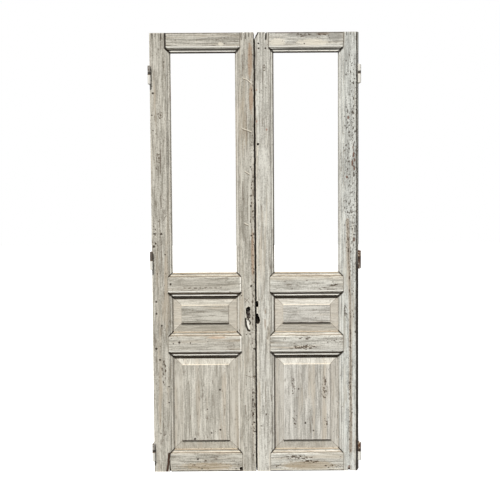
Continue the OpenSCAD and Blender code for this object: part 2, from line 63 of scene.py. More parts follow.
face_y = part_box("left_hinge_stile")[0].y
back_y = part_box("left_hinge_stile")[1].y


def add_object(name, data):
    """A new object in the scene, at the origin."""
    added = bpy.data.objects.new(name, data)
    bpy.context.scene.collection.objects.link(added)
    return added


def pick(piece):
    """Makes the piece the only selected one."""
    bpy.ops.object.select_all(action="DESELECT")
    piece.select_set(True)
    bpy.context.view_layer.objects.active = piece


def work_on(piece):
    """Opens the piece alone in edit mode, with all of its mesh selected."""
    pick(piece)
    bpy.ops.object.mode_set(mode="EDIT")
    bpy.ops.mesh.select_mode(type="VERT")
    bpy.ops.mesh.select_all(action="SELECT")


def welded_copy(node_name, ending, flat_within):
    """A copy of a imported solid, welded and with each flat face whole."""
    piece = add_object(node_name + ending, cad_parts[node_name].data.copy())
    work_on(piece)
    bpy.ops.mesh.customdata_custom_splitnormals_clear()
    bpy.ops.mesh.remove_doubles(threshold=WELD)
    bpy.ops.mesh.dissolve_limited(angle_limit=flat_within)
    bpy.ops.object.mode_set(mode="OBJECT")
    piece.data.materials.clear()
    return piece


def ease_arrises(piece, width, shortest):
    """Rounds the outer edges, as sandpaper and a century of hands have."""
    work_on(piece)
    bpy.ops.mesh.select_mode(type="EDGE")
    bpy.ops.mesh.select_all(action="DESELECT")
    mesh = bmesh.from_edit_mesh(piece.data)
    for edge in mesh.edges:
        if len(edge.link_faces) == 2 and edge.calc_length() > shortest:
            edge.select = edge.calc_face_angle_signed() > ARRIS_TURN
    bmesh.update_edit_mesh(piece.data)
    bpy.ops.mesh.bevel(offset=width, segments=2, profile=0.5, clamp_overlap=True)
    bpy.ops.object.mode_set(mode="OBJECT")


def slice_timber(piece, axis, spacing):
    """Cuts the mesh across at even steps, so that the worn surface has points to move."""
    work_on(piece)
    low = min(v.co[axis] for v in piece.data.vertices)
    high = max(v.co[axis] for v in piece.data.vertices)
    normal = [0.0, 0.0, 0.0]
    normal[axis] = 1.0
    count = max(2, round((high - low) / spacing))
    for step in range(1, count):
        at = [0.0, 0.0, 0.0]
        at[axis] = low + (high - low) * step / count
        bpy.ops.mesh.select_all(action="SELECT")
        bpy.ops.mesh.bisect(plane_co=at, plane_no=normal)
    bpy.ops.object.mode_set(mode="OBJECT")


def weather(piece, grain_axis, depth):
    """Sinks the surface in shallow waves along the grain, by the widths, lengths and shares in WEAR."""
    stretch = add_object("grain direction", None)
    for name, width, length, share in WEAR:
        noise = bpy.data.textures.new(name, "CLOUDS")
        noise.noise_scale = 1.0
        noise.noise_depth = 2
        stretch.scale = [width, width, width]
        stretch.scale[grain_axis] = length
        bpy.context.view_layer.update()
        sink = piece.modifiers.new(name, "DISPLACE")
        sink.texture = noise
        sink.texture_coords = "OBJECT"
        sink.texture_coords_object = stretch
        sink.mid_level = 1.0
        sink.strength = depth * share
        bpy.context.view_layer.objects.active = piece
        bpy.ops.object.modifier_apply(modifier=sink.name)
    bpy.data.objects.remove(stretch)


def set_in_place(piece, node_name, body, turn=SOFT_TURN):
    """Smooths the shading over the rounded edges and sets the piece on its body, in its node's place."""
    pick(piece)
    bpy.ops.object.shade_smooth_by_angle(angle=turn)
    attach(piece, body)
    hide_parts(node_name)


def seen(red, green, blue):
    """A colour as it looks, from 0 to 255, as the shader's own linear value."""
    def linear(value):
        share = value / 255.0
        return share / 12.92 if share <= 0.04045 else ((share + 0.055) / 1.055) ** 2.4
    return (linear(red), linear(green), linear(blue), 1.0)


def feed(tree, socket, value):
    """Sets a socket to a value, or links it to the socket that is given."""
    if isinstance(value, bpy.types.NodeSocket):
        tree.links.new(value, socket)
    else:
        socket.default_value = value


def add_node(tree, kind, settings=None, **inputs):
    """Adds a node. An input is given as a value, or as the socket that feeds it."""
    node = tree.nodes.new("ShaderNode" + kind)
    for name, value in (settings or {}).items():
        setattr(node, name, value)
    for name, value in inputs.items():
        feed(tree, node.inputs[name.replace("_", " ")], value)
    return node


def figure(tree, operation, *values, clamp=False):
    """A Math node's result."""
    node = add_node(tree, "Math", {"operation": operation, "use_clamp": clamp})
    for socket, value in zip(node.inputs, values):
        feed(tree, socket, value)
    return node.outputs[0]


def times(tree, first, second):
    """The product of two values."""
    return figure(tree, "MULTIPLY", first, second)


def vector_figure(tree, operation, *values, scale=None, result="Vector"):
    """A Vector Math node's result."""
    node = add_node(tree, "VectorMath", {"operation": operation})
    for socket, value in zip(node.inputs, values):
        feed(tree, socket, value)
    if scale is not None:
        feed(tree, node.inputs["Scale"], scale)
    return node.outputs[result]


def along_axis(tree, place, axis):
    """How far a place lies along the X, Y or Z axis."""
    return add_node(tree, "SeparateXYZ", Vector=place).outputs[axis]


def ramp(tree, value, low, high):
    """0 at low and 1 at high, which may be the smaller of the two."""
    return add_node(tree, "MapRange", {"interpolation_type": "SMOOTHSTEP"}, Value=value, From_Min=low,
                    From_Max=high).outputs["Result"]


def blend(tree, share, first, second):
    """Two colours mixed by share."""
    node = add_node(tree, "Mix", {"data_type": "RGBA"})
    for socket, value in ((0, share), (6, first), (7, second)):
        feed(tree, node.inputs[socket], value)
    return node.outputs[2]


def noise_at(tree, place, scale, detail=3.0, roughness=0.6):
    """A noise's grey value, around one half."""
    return add_node(tree, "TexNoise", Vector=place, Scale=scale, Detail=detail,
                    Roughness=roughness).outputs["Fac"]


def stray_at(tree, place, scale, far):
    """A small vector that wanders over the surface, up to far long."""
    noise = add_node(tree, "TexNoise", Vector=place, Scale=scale, Detail=3.0).outputs["Color"]
    centred = vector_figure(tree, "SUBTRACT", noise, (0.5, 0.5, 0.5))
    return vector_figure(tree, "SCALE", centred, scale=far)


def new_material(name):
    """An empty node material, and its tree."""
    material = bpy.data.materials.new(name)
    material.use_nodes = True
    material.node_tree.nodes.clear()
    return material, material.node_tree


def new_group(name, inputs, outputs):
    """An empty shader node group, with its input and output sockets."""
    group = bpy.data.node_groups.new(name, "ShaderNodeTree")
    for in_out, sockets in (("INPUT", inputs), ("OUTPUT", outputs)):
        for socket, kind in sockets:
            group.interface.new_socket(socket, in_out=in_out, socket_type="NodeSocket" + kind)
    return group, group.nodes.new("NodeGroupInput").outputs, group.nodes.new("NodeGroupOutput").inputs


def place_group(tree, group, **inputs):
    """Places a node group in a tree and returns its outputs."""
    return add_node(tree, "Group", {"node_tree": group}, **inputs).outputs


# Brushed limewash. Along is the place with the grain's direction drawn short, so that noise runs with it.
limewash, given, made = new_group(
    "limewash",
    [("Position", "Vector"), ("Along", "Vector"), ("Pale", "Color"), ("Deep", "Color"), ("Warm", "Color"),
     ("Broad", "Float")],
    [("Colour", "Color"), ("Height", "Float")],
)
wander = stray_at(limewash, given["Position"], 5.0, 0.01)
grain_place = vector_figure(limewash, "ADD", given["Along"], wander)
broad = figure(limewash, "SUBTRACT", noise_at(limewash, grain_place, 22.0), 0.5)
brush = noise_at(limewash, grain_place, 62.0, 4.0)
stroke = noise_at(limewash, grain_place, 128.0)
grit = noise_at(limewash, given["Position"], 140.0)
tone = times(limewash, brush, 0.2)
tone = figure(limewash, "MULTIPLY_ADD", stroke, 0.48, tone)
tone = figure(limewash, "MULTIPLY_ADD", grit, 0.26, tone)
tone = figure(limewash, "MULTIPLY_ADD", broad, given["Broad"], tone)
tone = ramp(limewash, tone, 0.35, 0.58)
wash = blend(limewash, tone, given["Deep"], given["Pale"])
aside = vector_figure(limewash, "ADD", grain_place, (0.31, 0.17, 0.23))
warmth = times(limewash, ramp(limewash, noise_at(limewash, aside, 34.0, 4.0), 0.52, 0.7), 0.7)
wash = blend(limewash, warmth, wash, given["Warm"])
vein = figure(limewash, "SUBTRACT", noise_at(limewash, aside, 30.0, 2.0), 0.5)
vein = ramp(limewash, figure(limewash, "ABSOLUTE", vein), 0.016, 0.004)
broken = ramp(limewash, noise_at(limewash, given["Position"], 26.0), 0.45, 0.6)
vein = times(limewash, times(limewash, vein, broken), 0.55)
pores = times(limewash, ramp(limewash, noise_at(limewash, aside, 190.0), 0.58, 0.7), 0.5)
lines = figure(limewash, "MAXIMUM", vein, pores)
wash = blend(limewash, lines, wash, seen(104, 92, 78))
feed(limewash, made["Colour"], wash)
height = figure(limewash, "MULTIPLY_ADD", stroke, 0.8, tone)
feed(limewash, made["Height"], figure(limewash, "SUBTRACT", height, lines))

# Flakes: flecks where the coats have come off down to dark wood, more of them where Amount is higher.
flakes, given, made = new_group("flakes", [("Along", "Vector"), ("Amount", "Float"), ("Scale", "Float"),
                                           ("Ruffle", "Float")], [("Mask", "Float")])
cells = add_node(flakes, "TexVoronoi", Vector=given["Along"], Scale=given["Scale"])
apart = figure(flakes, "MULTIPLY_ADD", given["Ruffle"], 0.9, cells.outputs["Distance"])
chance = add_node(flakes, "SeparateColor", Color=cells.outputs["Color"]).outputs["Red"]
radius = figure(flakes, "SUBTRACT", figure(flakes, "ADD", chance, given["Amount"]), 1.0)
inside = figure(flakes, "SUBTRACT", radius, apart)
feed(flakes, made["Mask"], ramp(flakes, inside, -0.02, 0.08))

MARK_INPUTS = [("Position", "Vector"), ("Before", "Float")]
MARK_OUTPUTS = [("Mask", "Float"), ("Position", "Vector")]
HANDED_ON = (0.0000001, 0.0, 0.0)
LINES_END_Y = 0.004


def end_mark(group, given, made, mask):
    """Hands on the mask with the marks before it, and a place that waits for it.

    The renderer then works a board's marks out in turn. Its memory holds only a few of them at once.
    """
    feed(group, made["Mask"], figure(group, "MAXIMUM", mask, given["Before"]))
    waited = vector_figure(group, "SCALE", HANDED_ON, scale=mask)
    feed(group, made["Position"], vector_figure(group, "ADD", given["Position"], waited))


# Spot: a patch with a ragged border, round a centre, reaching as far each way as Reach says.
spot, given, made = new_group(
    "spot",
    MARK_INPUTS + [("Centre", "Vector"), ("Reach", "Vector"), ("Ruffle", "Float")],
    MARK_OUTPUTS + [("Apart", "Float")],
)
offset = vector_figure(spot, "SUBTRACT", given["Position"], given["Centre"])
offset = vector_figure(spot, "DIVIDE", offset, given["Reach"])
apart = figure(spot, "ADD", vector_figure(spot, "LENGTH", offset, result="Value"), given["Ruffle"])
feed(spot, made["Apart"], apart)
end_mark(spot, given, made, ramp(spot, apart, 1.0, 0.6))

# Line: a stroke from Start along Run over the front, such as a crack, a scratch or an open joint.
# Per Run is one over the square of its length. The stroke is full within Inner and gone at Width.
line, given, made = new_group(
    "line",
    MARK_INPUTS + [("Stray", "Vector"), ("Start", "Vector"), ("Run", "Vector"), ("Per Run", "Float"),
                   ("Inner", "Float"), ("Width", "Float")],
    MARK_OUTPUTS,
)
flat_place = vector_figure(line, "ADD", given["Position"], given["Stray"])
flat_place = vector_figure(line, "MULTIPLY", flat_place, (1.0, 0.0, 1.0))
reached = vector_figure(line, "SUBTRACT", flat_place, given["Start"])
along = vector_figure(line, "DOT_PRODUCT", reached, given["Run"], result="Value")
share = figure(line, "MULTIPLY", along, given["Per Run"], clamp=True)
nearest = vector_figure(line, "SCALE", given["Run"], scale=share)
apart = vector_figure(line, "DISTANCE", reached, nearest, result="Value")
stroke = ramp(line, apart, given["Width"], given["Inner"])
in_front = figure(line, "LESS_THAN", along_axis(line, given["Position"], "Y"), LINES_END_Y)
end_mark(line, given, made, times(line, stroke, in_front))

UPRIGHT_GRAIN = (1.0, 1.0, 0.065)
LEVEL_GRAIN = (0.075, 1.0, 1.0)
MARK_DEPTH = 0.022
BARE_WOOD = seen(84, 70, 57)
SHADE_BROWN = seen(64, 46, 24)
# Black for open joints, and painted shade in the seam, splits, holes and metal corners.
BLACK_GAP_AND_SHADE = seen(30, 21, 12)
BROWN = seen(116, 86, 62)
CREAM = seen(230, 223, 207)
SPECK_GREY = seen(84, 76, 67)
SPLIT_AND_SHADE_DARK = seen(58, 47, 37)
HOLE_BROWN = seen(54, 43, 34)
GAP_AND_SHADE_DARKNESS = 0.065
DOT_REACH = 1.15
ALL_THROUGH = 0.3
FACE_SKIN = (face_y + 0.0012, face_y + 0.0026)
BACK_SKIN = (back_y - 0.0016, back_y - 0.0036)
FLAKE_SCALES = (115.0, 210.0)
RUBBED_REACH, CORNER_REACH = 0.006, 0.011
SKYWARD = (-0.15, -0.2, 0.7)


def start_coat(name, grain, pale, deep, warm, broad):
    """Begins a board's finish: the limewash alone, on which marks are then laid."""
    material, tree = new_material(name)
    place = add_node(tree, "TexCoord").outputs["Object"]
    along = add_node(tree, "Mapping", Vector=place, Scale=grain).outputs["Vector"]
    wash = place_group(tree, limewash, Position=place, Along=along, Pale=pale, Deep=deep, Warm=warm,
                       Broad=broad)
    ruffle = figure(tree, "SUBTRACT", noise_at(tree, place, 120.0), 0.5)
    depth = along_axis(tree, place, "Y")
    return SimpleNamespace(material=material, tree=tree, grain=grain, board=place, place=place, depth=depth,
                           ruffle=ruffle, stray=stray_at(tree, place, 45.0, 0.006), colour=wash["Colour"],
                           height=wash["Height"], amount=0.0, clean=0.0, gaps_and_shade=0.0)


def lay(coat, mask, colour, strength):
    """Lays a colour over the coat where the mask is. Very dark colours are gaps and painted shade, kept free
    of dust.
    """
    tree = coat.tree
    share = times(tree, mask, strength)
    coat.colour = blend(tree, share, coat.colour, colour)
    if max(colour[:3]) < GAP_AND_SHADE_DARKNESS:
        coat.gaps_and_shade = figure(tree, "MAXIMUM", coat.gaps_and_shade, share)


def add_mark(coat, group, before, **inputs):
    """Places a mark's group after the marks before it, and returns its outputs."""
    mark = place_group(coat.tree, group, Position=coat.place, Before=before, **inputs)
    coat.place = mark["Position"]
    return mark


def add_spot(coat, before, x, z, wide, tall, deep=MARK_DEPTH):
    """Adds one spot, given by its middle and its reach across, up and into the wood."""
    return add_mark(coat, spot, before, Centre=(x, face_y, z), Reach=(wide, deep, tall),
                    Ruffle=coat.ruffle)


def lay_spots(coat, places, colour, strength):
    """Lays stains, patches or small holes, each given by its middle and its reach across and up."""
    mask = 0.0
    for place in places:
        mask = add_spot(coat, mask, *place)["Mask"]
    lay(coat, mask, colour, strength)


def lay_dots(coat, places):
    """Lays small round holes and specks, each given by its middle and radius."""
    spots = [(x, z, radius * DOT_REACH, radius * DOT_REACH) for x, z, radius in places]
    lay_spots(coat, spots, HOLE_BROWN, 0.92)


def lay_broken(coat, places, colour):
    """Darkens the wood inside holes, splits and notches, below the face: painted shade, in rust colour at
    rusty ones.
    """
    tree = coat.tree
    mask = 0.0
    for place in places:
        mask = add_spot(coat, mask, *place, deep=ALL_THROUGH)["Mask"]
    below = ramp(tree, coat.depth, *FACE_SKIN)
    inside = times(tree, below, ramp(tree, coat.depth, *BACK_SKIN))
    lay(coat, times(tree, mask, inside), colour, 0.97)


def lay_lines(coat, runs, colour, strength, straight=False):
    """Lays cracks, scratches or joints, each a list of points with a width before them."""
    stray = (0.0, 0.0, 0.0) if straight else coat.stray
    mask = 0.0
    for width, *points in runs:
        for (x0, z0), (x1, z1) in zip(points, points[1:]):
            run = Vector((x1 - x0, 0.0, z1 - z0))
            mask = add_mark(coat, line, mask, Stray=stray, Start=(x0, 0.0, z0), Run=run,
                            Per_Run=1.0 / run.length_squared, Inner=width * 0.5, Width=width)["Mask"]
    lay(coat, mask, colour, strength)
    return mask


def lay_knots(coat, places, strength):
    """Lays knots that show through the wash as dark rings round a darker heart."""
    tree = coat.tree
    for place in places:
        apart = add_spot(coat, 0.0, *place)["Apart"]
        wave = figure(tree, "SINE", times(tree, apart, 13.0))
        wave = times(tree, ramp(tree, wave, 0.1, 0.9), ramp(tree, apart, 1.0, 0.8))
        mask = figure(tree, "MAXIMUM", wave, ramp(tree, apart, 0.4, 0.15))
        lay(coat, mask, seen(96, 82, 68), strength)


def flake_more(coat, regions):
    """Lets the coats flake more within regions of the front."""
    tree = coat.tree
    for x, z, wide, tall, more in regions:
        region = place_group(tree, spot, Position=coat.board, Before=0.0, Centre=(x, face_y, z),
                             Reach=(wide, MARK_DEPTH, tall), Ruffle=coat.ruffle)["Mask"]
        region = times(tree, region, more)
        coat.amount = figure(tree, "MAXIMUM", coat.amount, region)


def end_coat(coat, flaking, flake_colour=BARE_WOOD, fineness=1.0, shade_strength=0.85):
    """Adds flakes, painted shade in corners, rubbed edges with painted highlight; joins it all to the
    shader.
    """
    tree = coat.tree
    short_grain = tuple(0.45 if share < 1.0 else 1.0 for share in coat.grain)
    loose = add_node(tree, "Mapping", Vector=coat.board, Scale=short_grain).outputs["Vector"]
    amount = figure(tree, "ADD", coat.amount, flaking)
    layers = [place_group(tree, flakes, Along=loose, Amount=amount, Scale=scale * fineness,
                          Ruffle=coat.ruffle)["Mask"] for scale in FLAKE_SCALES]
    flecks = figure(tree, "MAXIMUM", *layers)
    colour = blend(tree, times(tree, flecks, 0.88), coat.colour, flake_colour)
    # Convex edges: pale in patches, rubbed paint and painted highlight; brown where rubbed to bare wood.
    edge = add_node(tree, "AmbientOcclusion", {"samples": 8, "inside": True, "only_local": True},
                    Distance=RUBBED_REACH).outputs["AO"]
    worn = noise_at(tree, coat.board, 60.0, 4.0)
    worn_edge_and_highlight = times(tree, ramp(tree, edge, 0.93, 0.66), ramp(tree, worn, 0.36, 0.48))
    whole = figure(tree, "SUBTRACT", 1.0, coat.gaps_and_shade)
    worn_edge_and_highlight = times(tree, worn_edge_and_highlight, whole)
    colour = blend(tree, times(tree, worn_edge_and_highlight, 0.55), colour, CREAM)
    bare_edge = times(tree, ramp(tree, edge, 0.8, 0.55), ramp(tree, worn, 0.56, 0.64))
    bare_edge = times(tree, bare_edge, whole)
    colour = blend(tree, times(tree, bare_edge, 0.7), colour, seen(120, 98, 76))
    normal = add_node(tree, "NewGeometry").outputs["Normal"]
    upward = along_axis(tree, normal, "Z")
    dust = times(tree, ramp(tree, upward, 0.25, 0.8), times(tree, whole, 0.35))
    colour = blend(tree, dust, colour, seen(186, 170, 144))
    # Painted shade: dark brown in corners, under overhangs and on faces that look down, off the highlit
    # lines.
    towards_sky = vector_figure(tree, "SCALE", normal, scale=0.6)
    towards_sky = vector_figure(tree, "ADD", towards_sky, SKYWARD)
    sky_seen = add_node(tree, "AmbientOcclusion", {"samples": 8}, Distance=CORNER_REACH,
                        Normal=vector_figure(tree, "NORMALIZE", towards_sky)).outputs["AO"]
    corner_shade = ramp(tree, sky_seen, 0.84, 0.42)
    corner_shade = figure(tree, "MAXIMUM", corner_shade, times(tree, ramp(tree, upward, -0.2, -0.75), 0.7))
    kept = figure(tree, "MULTIPLY_ADD", coat.clean, -shade_strength, shade_strength)
    colour = blend(tree, times(tree, corner_shade, kept), colour, SHADE_BROWN)
    relief = figure(tree, "MULTIPLY_ADD", flecks, -1.2, coat.height)
    bump = add_node(tree, "Bump", Strength=0.6, Distance=0.001, Height=relief)
    surface = add_node(tree, "BsdfPrincipled", Base_Color=colour, Roughness=0.82, Specular_IOR_Level=0.08,
                       Normal=bump.outputs["Normal"])
    add_node(tree, "OutputMaterial", Surface=surface.outputs["BSDF"])
    return coat.material


LEFT_WASH = (seen(210, 206, 195), seen(146, 141, 130), seen(184, 171, 152))
RIGHT_WASH = (seen(224, 222, 213), seen(162, 158, 149), seen(200, 190, 173))
BLUISH_WASH = (seen(224, 225, 219), seen(162, 162, 157), seen(196, 189, 175))
BOARD_FLAKING = 0.22
STILE_BROAD = 0.1
STILE_SHADE = 0.32
SEAM_HALF = 0.0064
RAILS = ["top_rail", "upper_lock_rail", "lower_lock_rail", "bottom_rail"]
LEAF_TOP = 2.3
STILE_FACE = 0.09
MOULDING = 0.026
FILLET = 0.0125
CREASE_IN, FILLET_IN = FILLET - 0.001, FILLET + 0.004
LIP_IN, SIGHT_IN = MOULDING - 0.003, MOULDING - 0.001
JOINT_WIDTH = 0.0036
LOWER_MITRE, UPPER_MITRE = 0.0072, 0.0046
SHOULDERS = {"left": (-0.461, -0.074), "right": (0.461, 0.074)}
HINGE_END, MEETING_END = 0, 1
MITRE_SHORT = 0.004
MOULDING_DIRT_AND_SHADE = {"left": ((0.0, 0.2), (0.3, 0.1)), "right": ((0.3, 0.25), (0.4, 0.8))}
JOINT_DIRT = seen(58, 42, 24)
CREASE_BROWN = seen(92, 78, 63)
RAGGED_END = seen(46, 37, 30)
PAINTED_HIGHLIGHT = seen(246, 243, 234)
# The seam between the leaves: its channel is painted black, as its shade.
seam_line = [(SEAM_HALF, (0.0, -0.05), (0.0, 1.0)), (SEAM_HALF * 1.15, (0.0, 1.0), (0.0, 2.285))]
stile_finish = {}


def inwards(side, end, far):
    """A place across the leaf, from the shoulder at one end of the rails towards the other end."""
    shoulder = SHOULDERS[side][end]
    return shoulder + math.copysign(far, SHOULDERS[side][1 - end] - shoulder)


def shoulder_joint(side, rail_name, end):
    """The upright line where a rail meets a stile."""
    low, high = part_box(side + "_" + rail_name)
    shoulder = inwards(side, end, 0.0)
    foot = low.z if rail_name == "bottom_rail" else low.z + MOULDING
    head = high.z if rail_name == "top_rail" else high.z - MOULDING
    return (JOINT_WIDTH, (shoulder, foot), (shoulder, head))


def mitres(side, rail_name, end):
    """The slanting lines where a rail's mouldings meet a stile's: the lower one is the wider."""
    low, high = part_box(side + "_" + rail_name)
    sight, near = inwards(side, end, MOULDING), inwards(side, end, MITRE_SHORT)
    lower = (LOWER_MITRE, (sight, low.z), (near, low.z + MOULDING - MITRE_SHORT))
    upper = (UPPER_MITRE, (sight, high.z), (near, high.z - MOULDING + MITRE_SHORT))
    if rail_name == "top_rail":
        return [lower]
    if rail_name == "bottom_rail":
        return [upper]
    return [lower, upper]


def upright_line(width, x):
    """A line up the whole leaf."""
    return (width, (x, 0.0), (x, LEAF_TOP))


def start_stile(side, end, wash):
    """Begins a stile's finish: painted shade, dirt and a painted highlight on the moulding, dirt in joints
    and ends.
    """
    end_name = ("hinge", "meeting")[end]
    coat = start_coat(f"{side} {end_name} stile limewash", UPRIGHT_GRAIN, *wash, STILE_BROAD)
    crease, fillet = inwards(side, end, CREASE_IN), inwards(side, end, FILLET_IN)
    lip, sight = inwards(side, end, LIP_IN), inwards(side, end, SIGHT_IN)
    in_shade = crease < sight
    # Dark lines on the moulding's crease and lip: dirt, and painted shade where it faces from the sun.
    crease_dirt_and_shade, lip_dirt_and_shade = MOULDING_DIRT_AND_SHADE[side][end]
    lay_lines(coat, [upright_line(0.0018, crease)], CREASE_BROWN, crease_dirt_and_shade, straight=True)
    lay_lines(coat, [upright_line(0.005, lip)], SPLIT_AND_SHADE_DARK, lip_dirt_and_shade, straight=True)
    # A painted highlight on the fillet, fainter where the moulding faces away from the sun.
    brightness = 0.12 if in_shade else 0.4
    coat.clean = lay_lines(coat, [upright_line(0.0036, fillet)], PAINTED_HIGHLIGHT, brightness, straight=True)
    joints = [shoulder_joint(side, rail_name, end) for rail_name in RAILS]
    lay_lines(coat, joints, JOINT_DIRT, 0.5, straight=True)
    lay_lines(coat, [shoulder_joint(side, "top_rail", end)], JOINT_DIRT, 0.7, straight=True)
    outer = inwards(side, end, -STILE_FACE)
    ends = ((0.007, LEAF_TOP + 0.0005), (0.0075, -0.0005))
    lay_lines(coat, [(width, (sight, z), (outer, z)) for width, z in ends], RAGGED_END, 0.92)
    slants = [mitre for rail_name in RAILS for mitre in mitres(side, rail_name, end)]
    lay_lines(coat, slants, BLACK_GAP_AND_SHADE, 0.92, straight=True)
    return coat


coat = start_stile("left", HINGE_END, LEFT_WASH)
lay_lines(coat, [(0.0056, (-0.462, 2.31), (-0.462, 2.222), (-0.435, 2.197))], BLACK_GAP_AND_SHADE, 0.95, straight=True)
lay_lines(coat, [(0.0085, (-0.464, 0.096), (-0.468, 0.05), (-0.477, -0.01))], seen(58, 32, 20), 0.95)
lay_broken(coat, [(-0.466, 0.04, 0.016, 0.075)], seen(58, 34, 22))
lay_knots(coat, [(-0.488, 1.878, 0.019, 0.026), (-0.5, 1.655, 0.018, 0.036)], 0.8)
lay_lines(coat, [
    (0.0022, (-0.483, 2.292), (-0.484, 2.215)), (0.0022, (-0.47, 2.29), (-0.471, 2.19)),
    (0.003, (-0.49, 1.7), (-0.492, 1.575)), (0.003, (-0.49, 1.465), (-0.491, 1.395)),
    (0.0022, (-0.478, 1.33), (-0.471, 1.35), (-0.463, 1.356)), (0.0026, (-0.493, 0.26), (-0.496, 0.16)),
    (0.0024, (-0.497, 1.28), (-0.489, 1.1)),
], seen(104, 92, 80), 0.7)
lay_lines(coat, [(0.004, (-0.437, 2.03), (-0.436, 1.955))], BROWN, 0.7)
lay_lines(coat, [(0.004, (-0.53, 2.3), (-0.527, 2.272)), (0.0036, (-0.512, 2.3), (-0.513, 2.282)),
                 (0.0034, (-0.484, 2.3), (-0.485, 2.262))], SPLIT_AND_SHADE_DARK, 0.65)
lay_dots(coat, [
    (-0.467, 2.151, 0.004), (-0.527, 1.991, 0.006), (-0.533, 1.878, 0.004), (-0.528, 1.799, 0.004),
    (-0.529, 1.263, 0.005), (-0.491, 1.261, 0.006), (-0.522, 1.21, 0.005), (-0.531, 1.195, 0.007),
    (-0.473, 1.153, 0.004), (-0.521, 0.842, 0.006), (-0.522, 0.905, 0.005), (-0.495, 0.78, 0.005),
    (-0.524, 0.657, 0.007), (-0.506, 0.598, 0.006), (-0.46, 0.455, 0.004), (-0.461, 0.371, 0.004),
])
flake_more(coat, [(-0.486, 0.53, 0.016, 0.08, 0.45), (-0.492, 0.19, 0.02, 0.06, 0.25),
                  (-0.525, 1.225, 0.022, 0.07, 0.35), (-0.5, 1.65, 0.025, 0.06, 0.2)])
stile_finish["left_hinge_stile"] = end_coat(coat, BOARD_FLAKING, shade_strength=STILE_SHADE)

coat = start_stile("left", MEETING_END, LEFT_WASH)
lay_spots(coat, [(-0.045, 0.56, 0.04, 0.62)], seen(222, 217, 205), 0.12)
lay_spots(coat, [(-0.022, 2.16, 0.014, 0.12), (-0.018, 1.96, 0.012, 0.09), (-0.014, 1.15, 0.01, 0.16)],
          seen(166, 134, 106), 0.6)
lay_lines(coat, [
    (0.0022, (-0.059, 2.185), (-0.06, 2.077)), (0.0026, (-0.0637, 1.534), (-0.065, 1.435)),
    (0.003, (-0.06, 0.353), (-0.055, 0.304)), (0.0024, (-0.044, 1.93), (-0.043, 1.82)),
    (0.0018, (-0.0585, 0.921), (-0.0324, 0.895)), (0.0018, (-0.035, 0.925), (-0.058, 0.897)),
    (0.002, (-0.053, 0.513), (-0.03, 0.502), (-0.006, 0.508)),
], seen(104, 90, 76), 0.75)
# Ridges of peeled paint: a painted highlight along each, and a painted shadow just beneath.
ridges = [
    (0.003, (-0.0605, 2.067), (-0.04, 2.06), (-0.017, 2.041)), (0.0028, (-0.0656, 1.809), (-0.017, 1.789)),
    (0.003, (-0.052, 1.586), (-0.027, 1.571)), (0.003, (-0.055, 1.315), (-0.034, 1.305)),
]
beneath = [(width, *[(x - 0.001, z - 0.0045) for x, z in points]) for width, *points in ridges]
lay_lines(coat, beneath, seen(96, 84, 70), 0.7)
lay_lines(coat, ridges, CREAM, 0.85)
lay_dots(coat, [
    (-0.0216, 1.607, 0.004), (-0.022, 1.404, 0.005), (-0.0194, 1.25, 0.005), (-0.011, 1.378, 0.005),
    (-0.0735, 0.935, 0.004), (-0.023, 0.985, 0.006), (-0.009, 0.654, 0.006),
])
lay_spots(coat, [
    (-0.017, 0.422, 0.004, 0.01), (-0.018, 0.381, 0.005, 0.012), (-0.018, 0.347, 0.004, 0.009),
    (-0.017, 0.307, 0.004, 0.012), (-0.012, 0.263, 0.005, 0.006), (-0.009, 0.213, 0.006, 0.005),
], seen(54, 42, 34), 0.95)
lay_lines(coat, [(0.007, (-0.0535, 0.812), (-0.0505, 0.775), (-0.042, 0.754), (-0.034, 0.75)),
                 (0.0046, (-0.04, 0.812), (-0.029, 0.794), (-0.031, 0.784))], seen(34, 26, 21), 0.95)
lay_lines(coat, [(0.0056, (-0.0455, 0.804), (-0.0405, 0.782), (-0.0365, 0.764))], seen(246, 243, 235), 0.95)
lay_dots(coat, [(-0.037, 0.75, 0.0045), (-0.031, 0.732, 0.005), (-0.05, 0.73, 0.004)])
lay_lines(coat, [(0.0038, (-0.066, 2.3), (-0.067, 2.262)), (0.0038, (-0.043, 2.3), (-0.044, 2.268)),
                 (0.0036, (-0.027, 2.3), (-0.028, 2.278))], SPLIT_AND_SHADE_DARK, 0.65)
lay_broken(coat, [(-0.04, 0.847, 0.024, 0.046)], seen(34, 27, 22))
lay_broken(coat, [(-0.055, 2.296, 0.008, 0.024)], BLACK_GAP_AND_SHADE)
lay_lines(coat, seam_line, BLACK_GAP_AND_SHADE, 0.97)
flake_more(coat, [(-0.012, 1.25, 0.014, 1.0, 0.3), (-0.012, 0.3, 0.016, 0.3, 0.4)])
stile_finish["left_meeting_stile"] = end_coat(coat, BOARD_FLAKING, shade_strength=STILE_SHADE)

